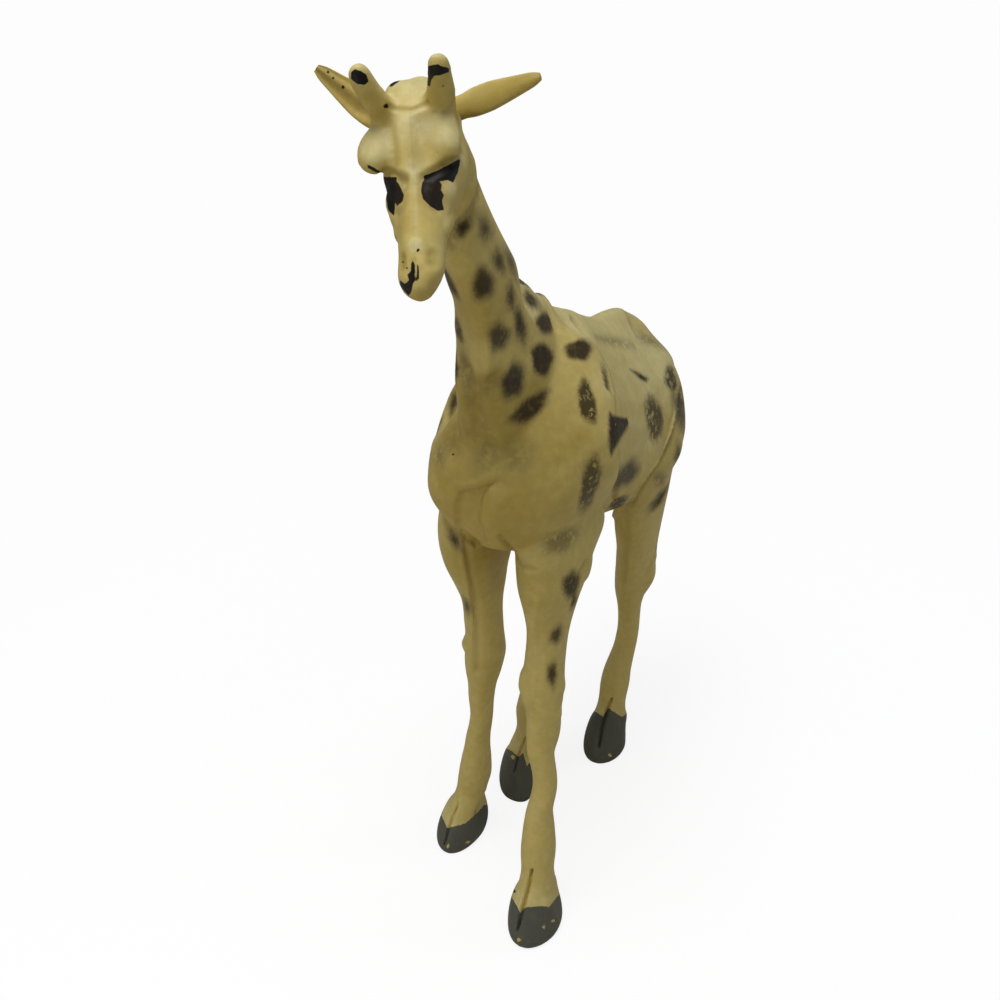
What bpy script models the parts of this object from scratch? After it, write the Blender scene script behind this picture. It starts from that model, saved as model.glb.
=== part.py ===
"""A standing toy giraffe in hollow moulded plastic, glued together from shells.

The animal faces -Y and its left side is +X, with its hooves on the ground. It is
shaped with its head held straight, cut into its mouldings and pinned, and only
then is the neck twisted and the head turned to the left.
"""
import math

import bmesh
import bpy
from mathutils import Matrix, Vector

MM = 0.001

# Trunk
BRISKET_HEIGHT = 145 * MM
BELLY_HEIGHT = 130 * MM
TRUNK_DEPTH = 75 * MM
TRUNK_LENGTH = 132 * MM
TRUNK_FRONT = -44 * MM
SHOULDER_WIDTH = 56 * MM
HAUNCH_WIDTH = 50 * MM

# Neck, from its root inside the shoulders to the poll
NECK_LENGTH = 94 * MM
NECK_LEAN = math.radians(28)
NECK_SWAY = -3 * MM
NECK_ROOT_WIDTH = 27 * MM
NECK_ROOT_DEPTH = 52 * MM
NECK_TOP_WIDTH = 14 * MM
NECK_TOP_DEPTH = 21 * MM

# Head, measured from the poll along the face
HEAD_LENGTH = 57 * MM
HEAD_DEPTH = 23 * MM
HEAD_WIDTH = 19 * MM
HEAD_PITCH = math.radians(40)
HEAD_TURN = math.radians(23)
HEAD_TILT = math.radians(2)
BROW_SIZE = 8 * MM
BROW_SPREAD = 19 * MM
HORN_LENGTH = 12.4 * MM
HORN_WIDTH = 5 * MM
HORN_SPREAD = 11 * MM

# Ears, each with a tang that plugs into the head
EAR_LENGTH = 19.5 * MM
EAR_WIDTH = 7.6 * MM
EAR_THICKNESS = 3 * MM
EAR_TANG = 3.5 * MM

# Tail, with a round plug in the rump
TAIL_LENGTH = 74 * MM
TAIL_WIDTH = 4.6 * MM
TAIL_TUFT_WIDTH = 7.5 * MM
TAIL_PLUG = 4 * MM

# Legs: heights of the joints above the ground, and sizes across and along
SHOULDER_HEIGHT = 186 * MM
ELBOW_HEIGHT = 140 * MM
KNEE_HEIGHT = 93 * MM
HIP_HEIGHT = 180 * MM
STIFLE_HEIGHT = 138 * MM
HOCK_HEIGHT = 90 * MM
FETLOCK_HEIGHT = 30 * MM
HOOF_HEIGHT = 15 * MM
FORELEG_PLACE = -17 * MM
HINDLEG_PLACE = 62 * MM
STEP_LENGTH = 40 * MM
SHOULDER_BLADE_WIDTH = 18 * MM
SHOULDER_BLADE_DEPTH = 28 * MM
ELBOW_WIDTH = 20 * MM
ELBOW_DEPTH = 37 * MM
KNEE_WIDTH = 13.8 * MM
KNEE_DEPTH = 15 * MM
THIGH_WIDTH = 24 * MM
THIGH_DEPTH = 46 * MM
STIFLE_WIDTH = 20 * MM
STIFLE_DEPTH = 37 * MM
HOCK_WIDTH = 14.4 * MM
HOCK_DEPTH = 22 * MM
CANNON_WIDTH = 10.2 * MM
CANNON_DEPTH = 11.8 * MM
FETLOCK_WIDTH = 12 * MM
FETLOCK_DEPTH = 14.4 * MM
HOOF_WIDTH = 17 * MM
HOOF_LENGTH = 24.5 * MM
CLEFT_WIDTH = 1.6 * MM
CLEFT_DEPTH = 4 * MM
CLEFT_RISE = 9 * MM

# Shells and the way they go together
WALL = 2 * MM
FIT_GAP = 0.3 * MM
LEG_SHELL_DROP = 4 * MM
PIN_WIDTH = 3.2 * MM
PIN_REACH = 3.5 * MM
BOSS_WIDTH = 7 * MM
LEG_PIN_WIDTH = 2 * MM
LEG_PIN_REACH = 1.6 * MM
LEG_BOSS_WIDTH = 5 * MM

# Fineness of the modelling
OVERRUN = 20 * MM
SNAP_STEP = 0.02 * MM
SKIN_GRAIN = 1.5 * MM
CAVITY_GRAIN = 2.2 * MM
SKIN_KEPT_SHARE = 0.062
CAVITY_KEPT_SHARE = 0.05
SOFTENING = 0.5
SKIN_SOFTENINGS = 5
CAVITY_SOFTENINGS = 2
RING_SIDES = 24
SMALL_RING_SIDES = 16
ROW_STEPS = 4
SMALL_ROW_STEPS = 2
PIN_SIDES = 12

# The exact solver loses pieces of the thin shells along their seams
SEAM_SOLVER = "MANIFOLD"

# Slices of the trunk, from the breast to the tail root: place along the trunk, top and
# underside in the trunk's depth, how far the underside sinks from brisket to belly
# height, then the parts of the shoulder's and haunch's widths
TRUNK_SHARES = (
    (0.000, 0.50, 0.20, 0.0, 0.22, 0.00),
    (0.025, 0.62, 0.11, 0.0, 0.50, 0.00),
    (0.080, 0.76, 0.03, 0.0, 0.76, 0.00),
    (0.150, 0.89, 0.00, 0.0, 0.92, 0.00),
    (0.260, 1.00, 0.00, 0.1, 0.98, 0.00),
    (0.360, 0.94, 0.00, 0.45, 0.72, 0.26),
    (0.480, 0.82, 0.00, 0.9, 0.50, 0.49),
    (0.600, 0.73, 0.00, 1.0, 0.24, 0.76),
    (0.710, 0.70, 0.02, 0.6, 0.00, 0.94),
    (0.800, 0.67, 0.08, 0.2, 0.00, 0.84),
    (0.890, 0.58, 0.15, 0.0, 0.00, 0.70),
    (0.960, 0.46, 0.21, 0.0, 0.00, 0.54),
    (1.000, 0.36, 0.28, 0.0, 0.00, 0.22),
)
TRUNK_RIDGE_SHARE = 0.56
TRUNK_WAIST_SHARE = 0.42

# Slices of the neck from root to poll: place, then how far each has come from the
# root's size to the top's, and how far the crest leads the throat
NECK_SHARES = (
    (0.00, 0.00, 0.00),
    (0.16, 0.30, -0.01),
    (0.32, 0.62, -0.01),
    (0.50, 0.83, 0.00),
    (0.68, 0.93, 0.00),
    (0.84, 0.98, 0.00),
    (1.00, 1.00, 0.00),
)
NECK_RIDGE_SHARE = 0.2
NECK_ROOT_SHARES = (0.18, 0.68)
TWIST_START_SHARE = 0.25
TWIST_SPAN_SHARE = 0.6

# Slices of the head from the nape to the lips: place in the head's length, measured
# from the poll, top and underside in its depth, and half width in its width
HEAD_SHARES = (
    (-0.17, 0.10, -0.16, 0.12),
    (-0.12, 0.22, -0.32, 0.34),
    (0.00, 0.42, -0.42, 0.50),
    (0.13, 0.44, -0.50, 0.56),
    (0.24, 0.38, -0.54, 0.55),
    (0.35, 0.30, -0.50, 0.45),
    (0.46, 0.25, -0.42, 0.35),
    (0.57, 0.20, -0.36, 0.29),
    (0.67, 0.16, -0.33, 0.27),
    (0.75, 0.11, -0.33, 0.28),
    (0.80, 0.04, -0.30, 0.22),
    (0.83, -0.05, -0.22, 0.10),
)
HEAD_RIDGE_SHARE = 0.15

# Brow swellings and horns on the head, in its length, width or depth
BROW_PLACE_SHARE = 0.22
BROW_LIFT_SHARE = 0.21
BROW_FORM_SHARES = (1.0, 1.5, 0.85)
HORN_PLACE_SHARE = 0.10
HORN_LIFT_SHARE = 0.38
HORN_SPLAY_SHARE = 0.24
HORN_TILT_SHARE = -0.05
HORN_SHARES = (
    (0.00, 1.10),
    (0.30, 1.00),
    (0.60, 0.86),
    (0.80, 0.92),
    (0.92, 0.96),
    (1.00, 0.70),
)

# Slices of an ear from its tang to its tip: place in its length and part of its width
EAR_SHARES = (
    (0.00, 0.60),
    (0.15, 0.74),
    (0.35, 0.96),
    (0.55, 1.00),
    (0.75, 0.84),
    (0.90, 0.52),
    (1.00, 0.16),
)
EAR_CUP_SHARE = 1.3
EAR_CUP_START_SHARE = 0.33
EAR_TAPER_SHARE = 1.6
EAR_ROOT_SHARES = (0.50, 0.02, 0.10)
EAR_FACING_SHARES = (0.0, 0.4, 1.0)
EAR_LEFT_AIM_SHARES = (0.97, -0.03, 0.14)
EAR_RIGHT_AIM_SHARES = (-0.76, -0.58, 0.26)

# Slices of the tail from the rump to the end of its tuft: place, width, then whether
# the width is the tuft's
TAIL_SHARES = (
    (0.00, 1.0, 0.0),
    (0.20, 0.9, 0.0),
    (0.50, 0.7, 0.0),
    (0.62, 0.4, 0.5),
    (0.78, 0.0, 1.0),
    (0.92, 0.0, 0.7),
    (1.00, 0.0, 0.25),
)
TAIL_ROOT_SHARE = 0.32
TAIL_DROOP_SHARE = 0.10
TAIL_BEND_SHARE = 0.12

# Slices of the legs from top to sole: the joint that sizes each one, then its height,
# width and depth beside that joint's
FORELEG_SHARES = (
    ("shoulder", 1.03, 0.60, 0.50),
    ("shoulder", 0.97, 0.95, 0.90),
    ("shoulder", 0.87, 1.06, 1.02),
    ("elbow", 1.05, 1.06, 1.04),
    ("elbow", 0.96, 1.00, 0.94),
    ("elbow", 0.88, 0.78, 0.66),
    ("knee", 1.22, 0.96, 1.06),
    ("knee", 1.10, 0.96, 0.98),
    ("knee", 1.00, 1.04, 1.04),
    ("knee", 0.90, 0.90, 0.90),
    ("cannon", 1.20, 0.96, 0.97),
    ("cannon", 0.80, 0.91, 0.92),
    ("fetlock", 1.28, 0.90, 0.90),
    ("fetlock", 1.00, 1.00, 1.00),
    ("fetlock", 0.74, 0.94, 0.92),
    ("hoof", 1.00, 0.78, 0.76),
    ("hoof", 0.50, 0.93, 0.92),
    ("hoof", 0.00, 1.02, 1.02),
    ("hoof", -0.40, 1.06, 1.06),
)
HINDLEG_SHARES = (
    ("hip", 0.97, 0.40, 0.45),
    ("hip", 0.91, 0.72, 0.80),
    ("hip", 0.83, 1.02, 1.00),
    ("stifle", 1.00, 1.02, 1.00),
    ("stifle", 0.90, 0.92, 0.88),
    ("stifle", 0.80, 0.80, 0.80),
    ("hock", 1.10, 1.04, 1.02),
    ("hock", 1.00, 1.02, 1.00),
    ("hock", 0.88, 0.92, 0.80),
    ("cannon", 1.10, 0.96, 0.98),
    ("cannon", 0.80, 0.94, 0.94),
    ("fetlock", 1.28, 0.90, 0.90),
    ("fetlock", 1.00, 1.00, 1.00),
    ("fetlock", 0.74, 0.94, 0.92),
    ("hoof", 1.00, 0.76, 0.74),
    ("hoof", 0.50, 0.90, 0.90),
    ("hoof", 0.00, 0.98, 0.98),
    ("hoof", -0.40, 1.02, 1.02),
)

# The joints of the legs from the top down, and how each leg steps: the places of its
# joints along the animal, in step lengths
FORELEG_JOINTS = ("shoulder", "elbow", "knee", "fetlock", "hoof")
HINDLEG_JOINTS = ("hip", "stifle", "hock", "fetlock", "hoof")
STEP_SHARES = {
    "foreleg_left": (0.00, 0.03, -0.20, -0.40, -0.58),
    "foreleg_right": (0.00, 0.05, 0.05, 0.16, 0.12),
    "hindleg_left": (0.00, -0.10, 0.17, 0.08, -0.14),
    "hindleg_right": (0.00, -0.40, -0.55, -0.90, -0.97),
}

# How wide each leg stands: distances of its middle from the midplane at its second,
# third and fourth joints and on the ground
STANCE = {
    "foreleg_left": (13.4 * MM, 15 * MM, 20 * MM, 23.4 * MM),
    "foreleg_right": (14.4 * MM, 11.6 * MM, 17.4 * MM, 22 * MM),
    "hindleg_left": (14.4 * MM, 11.3 * MM, 8.3 * MM, 9 * MM),
    "hindleg_right": (13.5 * MM, 12 * MM, 13 * MM, 14.4 * MM),
}

# Straight seam down each leg: its distances from the midplane at the top of the leg's
# inner shell and on the ground
LEG_SEAMS = {
    "foreleg_left": (13.6 * MM, 22 * MM),
    "foreleg_right": (10.4 * MM, 20 * MM),
    "hindleg_left": (12.8 * MM, 7.6 * MM),
    "hindleg_right": (12.2 * MM, 13.4 * MM),
}

# Places of the pins that line up the two body halves, in the trunk's length and depth
TRUNK_PIN_SHARES = ((0.10, 0.36), (0.48, 0.40), (0.84, 0.40))
HEAD_PIN_SHARE = 0.06

# Cleft in the front of each hoof, in its own height and the hoof's length
CLEFT_OVERLAP_SHARE = 1.3
CLEFT_TIP_SHARE = 0.4
CLEFT_LEAN_SHARE = 0.25

IVORY = (0.62, 0.50, 0.23, 1.0)
PLASTIC_ROUGHNESS = 0.42
SHARP_ANGLE = math.radians(50)

JOINT_SIZES = {
    "shoulder": (SHOULDER_HEIGHT, SHOULDER_BLADE_WIDTH, SHOULDER_BLADE_DEPTH),
    "elbow": (ELBOW_HEIGHT, ELBOW_WIDTH, ELBOW_DEPTH),
    "knee": (KNEE_HEIGHT, KNEE_WIDTH, KNEE_DEPTH),
    "hip": (HIP_HEIGHT, THIGH_WIDTH, THIGH_DEPTH),
    "stifle": (STIFLE_HEIGHT, STIFLE_WIDTH, STIFLE_DEPTH),
    "hock": (HOCK_HEIGHT, HOCK_WIDTH, HOCK_DEPTH),
    "cannon": ((KNEE_HEIGHT + FETLOCK_HEIGHT) / 2, CANNON_WIDTH, CANNON_DEPTH),
    "fetlock": (FETLOCK_HEIGHT, FETLOCK_WIDTH, FETLOCK_DEPTH),
    "hoof": (HOOF_HEIGHT, HOOF_WIDTH, HOOF_LENGTH),
}

ACROSS = Vector((1, 0, 0))
ALONG = Vector((0, 1, 0))
UP = Vector((0, 0, 1))

NECK_AXIS = Vector((0, -math.sin(NECK_LEAN), math.cos(NECK_LEAN)))
NECK_CREST = Vector((0, math.cos(NECK_LEAN), math.sin(NECK_LEAN)))
NECK_ROOT = Vector(
    (
        0,
        TRUNK_FRONT + TRUNK_LENGTH * NECK_ROOT_SHARES[0],
        BRISKET_HEIGHT + TRUNK_DEPTH * NECK_ROOT_SHARES[1],
    )
)
POLL = NECK_ROOT + NECK_AXIS * NECK_LENGTH
FACE_AXIS = Vector((0, -math.cos(HEAD_PITCH), -math.sin(HEAD_PITCH)))
FACE_UP = Vector((0, -math.sin(HEAD_PITCH), math.cos(HEAD_PITCH)))


def smooth_rows(rows, steps=ROW_STEPS):
    """Runs a smooth curve through rows of numbers and returns it with more rows."""
    result = []
    last = len(rows) - 1
    for index in range(last):
        before = rows[max(index - 1, 0)]
        start = rows[index]
        end = rows[index + 1]
        after = rows[min(index + 2, last)]
        for step in range(steps):
            t = step / steps
            row = []
            for a, b, c, d in zip(before, start, end, after):
                bend = (2 * a - 5 * b + 4 * c - d) * t * t + (3 * b - a - 3 * c + d) * t * t * t
                row.append(b + ((c - a) * t + bend) / 2)
            result.append(row)
    result.append(list(rows[last]))
    return result


def ease(t):
    """Smooth step from 0 to 1."""
    t = min(max(t, 0), 1)
    return t * t * (3 - 2 * t)


def add_ring(bm, centre, across, rise_way, half_width, rise, drop, ridge=0, sides=RING_SIDES):
    """Adds one closed ring, narrower towards its top by the ridge share."""
    verts = bmesh.ops.create_circle(bm, cap_ends=False, segments=sides, radius=1)["verts"]
    for vert in verts:
        side = vert.co.x
        lift = vert.co.y
        reach = rise if lift > 0 else drop
        width = half_width * (1 - ridge * max(lift, 0) ** 2)
        vert.co = centre + across * (width * side) + rise_way * (reach * lift)
    return list({edge for vert in verts for edge in vert.link_edges})


def bridge(bm, rings):
    """Skins a run of rings and closes both ends."""
    for first, second in zip(rings, rings[1:]):
        bmesh.ops.bridge_loops(bm, edges=first + second)
    bmesh.ops.edgeloop_fill(bm, edges=rings[0])
    bmesh.ops.edgeloop_fill(bm, edges=rings[-1])


def underside_over_brisket(bottom, sink):
    """Height of the trunk's underside over the brisket's, for one row of its shares."""
    return TRUNK_DEPTH * bottom + (BELLY_HEIGHT - BRISKET_HEIGHT) * sink


def add_trunk(bm, inset):
    """Barrel of the body."""
    rings = []
    for along, top, bottom, sink, shoulder, haunch in smooth_rows(TRUNK_SHARES):
        half_width = (SHOULDER_WIDTH * shoulder + HAUNCH_WIDTH * haunch) / 2 - inset
        underside = underside_over_brisket(bottom, sink)
        drop = (TRUNK_DEPTH * top - underside) * TRUNK_WAIST_SHARE - inset
        rise = (TRUNK_DEPTH * top - underside) * (1 - TRUNK_WAIST_SHARE) - inset
        if min(half_width, drop) < inset:
            continue
        height = BRISKET_HEIGHT + underside + inset + drop
        centre = Vector((0, TRUNK_FRONT + TRUNK_LENGTH * along, height))
        rings.append(add_ring(bm, centre, ACROSS, UP, half_width, rise, drop, TRUNK_RIDGE_SHARE))
    bridge(bm, rings)


def add_neck(bm, inset):
    """Long neck, deep at the shoulders and slim at the poll."""
    rings = []
    for along, change, lead in smooth_rows(NECK_SHARES):
        half_width = (NECK_ROOT_WIDTH + (NECK_TOP_WIDTH - NECK_ROOT_WIDTH) * change) / 2 - inset
        half_depth = (NECK_ROOT_DEPTH + (NECK_TOP_DEPTH - NECK_ROOT_DEPTH) * change) / 2 - inset
        centre = NECK_ROOT + NECK_AXIS * (NECK_LENGTH * along) + NECK_CREST * (NECK_LENGTH * lead)
        ring = add_ring(
            bm, centre, ACROSS, NECK_CREST, half_width, half_depth, half_depth, NECK_RIDGE_SHARE
        )
        rings.append(ring)
    bridge(bm, rings)


def in_head(across, ahead, lift):
    """Point in the head's own directions, measured from the poll."""
    return POLL + ACROSS * across + FACE_AXIS * ahead + FACE_UP * lift


def add_head(bm, inset):
    """Skull and muzzle."""
    rings = []
    for along, top, bottom, width in smooth_rows(HEAD_SHARES):
        half_width = HEAD_WIDTH * width - inset
        half_depth = HEAD_DEPTH * (top - bottom) / 2 - inset
        if min(half_width, half_depth) < inset / 2:
            continue
        centre = in_head(0, HEAD_LENGTH * along, HEAD_DEPTH * (top + bottom) / 2)
        ring = add_ring(
            bm, centre, ACROSS, FACE_UP, half_width, half_depth, half_depth, HEAD_RIDGE_SHARE
        )
        rings.append(ring)
    bridge(bm, rings)


def add_brows(bm):
    """Swellings over the eyes."""
    for side in (-1, 1):
        ahead = HEAD_LENGTH * BROW_PLACE_SHARE
        place = in_head(side * BROW_SPREAD / 2, ahead, HEAD_DEPTH * BROW_LIFT_SHARE)
        turn = Matrix((ACROSS, FACE_AXIS, FACE_UP)).transposed().to_4x4()
        form = Matrix.Diagonal(Vector(BROW_FORM_SHARES) * BROW_SIZE / 2).to_4x4()
        pose = Matrix.Translation(place) @ turn @ form
        bmesh.ops.create_uvsphere(
            bm, u_segments=RING_SIDES, v_segments=SMALL_RING_SIDES, radius=1, matrix=pose
        )


def add_horns(bm):
    """Two blunt horns, part of the head's moulding."""
    for side in (-1, 1):
        lift = HEAD_DEPTH * HORN_LIFT_SHARE - HORN_WIDTH
        root = in_head(side * HORN_SPREAD / 2, HEAD_LENGTH * HORN_PLACE_SHARE, lift)
        aim = FACE_UP + ACROSS * (side * HORN_SPLAY_SHARE) + FACE_AXIS * HORN_TILT_SHARE
        aim = aim.normalized()
        across = aim.cross(FACE_AXIS).normalized()
        onward = across.cross(aim)
        rings = []
        for along, width in smooth_rows(HORN_SHARES):
            reach = HORN_WIDTH * width / 2
            centre = root + aim * ((HORN_LENGTH + HORN_WIDTH) * along)
            rings.append(add_ring(bm, centre, across, onward, reach, reach, reach))
        bridge(bm, rings)


def leg_joints(name):
    """Names of a leg's joints from the top down."""
    return FORELEG_JOINTS if name.startswith("fore") else HINDLEG_JOINTS


def leg_line(name):
    """Places of the middle of one leg at its joints, from the top down."""
    start = FORELEG_PLACE if name.startswith("fore") else HINDLEG_PLACE
    distances = STANCE[name][:1] + STANCE[name]
    line = []
    for joint, step, distance in zip(leg_joints(name), STEP_SHARES[name], distances):
        height = 0 if joint == "hoof" else JOINT_SIZES[joint][0]
        line.append(Vector((leg_side(name) * distance, start + STEP_LENGTH * step, height)))
    return line


def leg_middle(name, height):
    """Middle of a leg at one height."""
    line = leg_line(name)
    for upper, lower in zip(line, line[1:]):
        if height >= lower.z or lower is line[-1]:
            share = min(max((height - lower.z) / (upper.z - lower.z), 0), 1)
            middle = lower.lerp(upper, share)
            return Vector((middle.x, middle.y, height))
    return line[-1]


def leg_reach(name):
    """Places along the animal just in front of a leg and just behind it."""
    depths = [JOINT_SIZES[joint][2] / 2 + WALL for joint in leg_joints(name)]
    front = min(point.y - depth for point, depth in zip(leg_line(name), depths))
    back = max(point.y + depth for point, depth in zip(leg_line(name), depths))
    return front, back


def leg_shell_top(name):
    """Height of the top of a leg's inner shell, just below the trunk's lowest part over the leg."""
    front, back = leg_reach(name)
    lowest = max(BRISKET_HEIGHT, BELLY_HEIGHT)
    for along, _, bottom, sink, _, _ in smooth_rows(TRUNK_SHARES):
        if front < TRUNK_FRONT + TRUNK_LENGTH * along < back:
            lowest = min(lowest, BRISKET_HEIGHT + underside_over_brisket(bottom, sink))
    return lowest - LEG_SHELL_DROP


def leg_seam(name, height):
    """Place across the animal of a leg's seam at one height."""
    upper, lower = LEG_SEAMS[name]
    return leg_side(name) * (lower + (upper - lower) * height / leg_shell_top(name))


def leg_side(name):
    """+1 for the animal's left legs and -1 for its right ones."""
    return 1 if name.endswith("left") else -1


def add_leg(bm, name, inset):
    """One leg from inside the trunk down through its hoof."""
    table = FORELEG_SHARES if name.startswith("fore") else HINDLEG_SHARES
    rows = []
    for joint, height, width, depth in table:
        joint_height, joint_width, joint_depth = JOINT_SIZES[joint]
        rows.append((joint_height * height, joint_width * width / 2, joint_depth * depth / 2))
    rings = []
    for height, half_width, half_depth in smooth_rows(rows):
        if inset and height < HOOF_HEIGHT + WALL:
            continue
        centre = leg_middle(name, height)
        reach = half_depth - inset
        rings.append(add_ring(bm, centre, ACROSS, ALONG, half_width - inset, reach, reach))
    bridge(bm, rings)


def ear_directions(side):
    """Root of an ear, and the ways it points, spreads and faces."""
    aim = Vector(EAR_LEFT_AIM_SHARES if side > 0 else EAR_RIGHT_AIM_SHARES)
    aim = (ACROSS * aim.x + FACE_AXIS * aim.y + FACE_UP * aim.z).normalized()
    across, ahead, lift = EAR_FACING_SHARES
    face = ACROSS * across + FACE_AXIS * ahead + FACE_UP * lift
    face = (face - aim * face.dot(aim)).normalized()
    out, ahead, lift = EAR_ROOT_SHARES
    root = in_head(side * HEAD_WIDTH * out, HEAD_LENGTH * ahead, HEAD_DEPTH * lift)
    return root, aim, aim.cross(face).normalized(), face


def add_ear(bm, side):
    """One leaf-shaped ear, cupped at the front, with its tang sunk in the head."""
    root, aim, spread, face = ear_directions(side)
    rows = [(-EAR_TANG, EAR_SHARES[0][1])]
    rows += [(EAR_LENGTH * along, width) for along, width in smooth_rows(EAR_SHARES, SMALL_ROW_STEPS)]
    rings = []
    for distance, width in rows:
        half_width = EAR_WIDTH * width / 2
        half_thickness = EAR_THICKNESS / 2 * min(1, width * EAR_TAPER_SHARE)
        centre = root + aim * distance
        ring = add_ring(
            bm, centre, spread, face, half_width, half_thickness, half_thickness, sides=SMALL_RING_SIDES
        )
        cup = EAR_CUP_SHARE * half_thickness * ease(distance / EAR_LENGTH / EAR_CUP_START_SHARE)
        for vert in {vert for edge in ring for vert in edge.verts}:
            offset = vert.co - centre
            if offset.dot(face) > 0:
                vert.co -= face * (cup * (1 - min(1, (offset.dot(spread) / half_width) ** 2)))
        rings.append(ring)
    bridge(bm, rings)


def add_ear_socket(bm, side):
    """Hole for an ear's tang, with room round it."""
    root, aim, spread, face = ear_directions(side)
    half_width = EAR_WIDTH * EAR_SHARES[0][1] / 2 + FIT_GAP
    half_thickness = EAR_THICKNESS / 2 * min(1, EAR_SHARES[0][1] * EAR_TAPER_SHARE) + FIT_GAP
    rings = []
    for distance in (-EAR_TANG - FIT_GAP, EAR_TANG):
        ring = add_ring(
            bm,
            root + aim * distance,
            spread,
            face,
            half_width,
            half_thickness,
            half_thickness,
            sides=SMALL_RING_SIDES,
        )
        rings.append(ring)
    bridge(bm, rings)


def tail_root():
    """Place on the rump where the tail goes in."""
    height = BRISKET_HEIGHT + TRUNK_DEPTH * TAIL_ROOT_SHARE
    return Vector((0, TRUNK_FRONT + TRUNK_LENGTH, height))


def add_tail(bm):
    """Thin tail with a tuft, hanging from a plug in the rump."""
    rump = tail_root()
    reach = TAIL_WIDTH / 2
    start = rump - ALONG * TAIL_PLUG
    rings = [add_ring(bm, start, ACROSS, UP, reach, reach, reach, sides=SMALL_RING_SIDES)]
    for along, width, tuft in smooth_rows(TAIL_SHARES, SMALL_ROW_STEPS):
        reach = (TAIL_WIDTH * width + TAIL_TUFT_WIDTH * tuft) / 2
        bend = ease(along / TAIL_BEND_SHARE)
        turn = bend * math.pi / 2
        down = TAIL_LENGTH * max(along - TAIL_BEND_SHARE / 2, 0)
        droop = TAIL_LENGTH * TAIL_DROOP_SHARE * math.sin(math.pi * min(along, 1 / 2))
        centre = rump + ALONG * (TAIL_WIDTH * bend + droop) - UP * down
        upward = UP * math.cos(turn) + ALONG * math.sin(turn)
        ring = add_ring(bm, centre, ACROSS, upward, reach, reach, reach, sides=SMALL_RING_SIDES)
        rings.append(ring)
    bridge(bm, rings)


def collection(name):
    """New collection in the scene."""
    made = bpy.data.collections.new(name)
    bpy.context.scene.collection.children.link(made)
    return made


def object_from(bm, name, group):
    """Turns a bmesh into an object with its faces pointing out."""
    bmesh.ops.recalc_face_normals(bm, faces=bm.faces)
    mesh = bpy.data.meshes.new(name)
    bm.to_mesh(mesh)
    bm.free()
    made = bpy.data.objects.new(name, mesh)
    group.objects.link(made)
    return made


def apply_modifiers(target):
    """Keeps what the modifiers make as the object's own mesh."""
    graph = bpy.context.evaluated_depsgraph_get()
    mesh = bpy.data.meshes.new_from_object(target.evaluated_get(graph))
    target.modifiers.clear()
    old = target.data
    target.data = mesh
    bpy.data.meshes.remove(old)


def boolean(target, tool, operation, solver="EXACT"):
    """Cuts the tool from the target or joins it on, and leaves only flat triangles."""
    modifier = target.modifiers.new(operation.title(), "BOOLEAN")
    modifier.operation = operation
    modifier.object = tool
    modifier.solver = solver
    apply_modifiers(target)
    bm = bmesh.new()
    bm.from_mesh(target.data)
    bmesh.ops.triangulate(bm, faces=bm.faces)
    bm.to_mesh(target.data)
    bm.free()


def hide_tool(tool):
    """Marks an object as a cutter."""
    tool.hide_render = True
    tool.display_type = "WIRE"


def blended(forms, name, group, grain, softenings, kept):
    """Melts overlapping closed forms into one smooth skin of few faces."""
    made = object_from(forms, name, group)
    melt = made.modifiers.new("Melt", "REMESH")
    melt.mode = "VOXEL"
    melt.voxel_size = grain
    apply_modifiers(made)
    # Remesh wavers in its last digits, and whole steps make every build alike
    bm = bmesh.new()
    bm.from_mesh(made.data)
    for vert in bm.verts:
        vert.co = Vector(round(place / SNAP_STEP) * SNAP_STEP for place in vert.co)
    for _ in range(softenings):
        bmesh.ops.smooth_vert(
            bm, verts=bm.verts, factor=SOFTENING, use_axis_x=True, use_axis_y=True, use_axis_z=True
        )
    bm.to_mesh(made.data)
    bm.free()
    thin = made.modifiers.new("Thin", "DECIMATE")
    thin.ratio = kept
    apply_modifiers(made)
    return made


def make_skin(group):
    """Outer skin of the whole animal, ears and tail apart."""
    bm = bmesh.new()
    add_trunk(bm, 0)
    add_neck(bm, 0)
    add_head(bm, 0)
    add_brows(bm)
    add_horns(bm)
    for name in STEP_SHARES:
        add_leg(bm, name, 0)
    return blended(bm, "skin", group, SKIN_GRAIN, SKIN_SOFTENINGS, SKIN_KEPT_SHARE)


def make_cavity(group):
    """Hollow inside the skin, one wall thickness in, without horns and hooves."""
    bm = bmesh.new()
    add_trunk(bm, WALL)
    add_neck(bm, WALL)
    add_head(bm, WALL)
    for name in STEP_SHARES:
        add_leg(bm, name, WALL)
    return blended(bm, "cavity", group, CAVITY_GRAIN, CAVITY_SOFTENINGS, CAVITY_KEPT_SHARE)


def add_box(bm, low, high):
    """Box between two corners."""
    size = high - low
    pose = Matrix.Translation((low + high) / 2) @ Matrix.Diagonal(size).to_4x4()
    bmesh.ops.create_cube(bm, size=1, matrix=pose)


def add_peg(bm, start, end, width):
    """Round peg between two points."""
    line = end - start
    turn = UP.rotation_difference(line).to_matrix().to_4x4()
    pose = Matrix.Translation((start + end) / 2) @ turn
    bmesh.ops.create_cone(
        bm,
        cap_ends=True,
        segments=PIN_SIDES,
        radius1=width / 2,
        radius2=width / 2,
        depth=line.length,
        matrix=pose,
    )


def make_trimmer(group):
    """Cutters for the soles and for the sockets of the ears and tail."""
    bm = bmesh.new()
    reach = (OVERRUN + TRUNK_LENGTH) * 2
    add_box(bm, Vector((-reach, -reach, -OVERRUN)), Vector((reach, reach, 0)))
    for side in (-1, 1):
        add_ear_socket(bm, side)
    rump = tail_root()
    reach = ALONG * (TAIL_PLUG + FIT_GAP)
    add_peg(bm, rump - reach, rump + reach, TAIL_WIDTH + 2 * FIT_GAP)
    made = object_from(bm, "trimmer", group)
    hide_tool(made)
    return made


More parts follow.
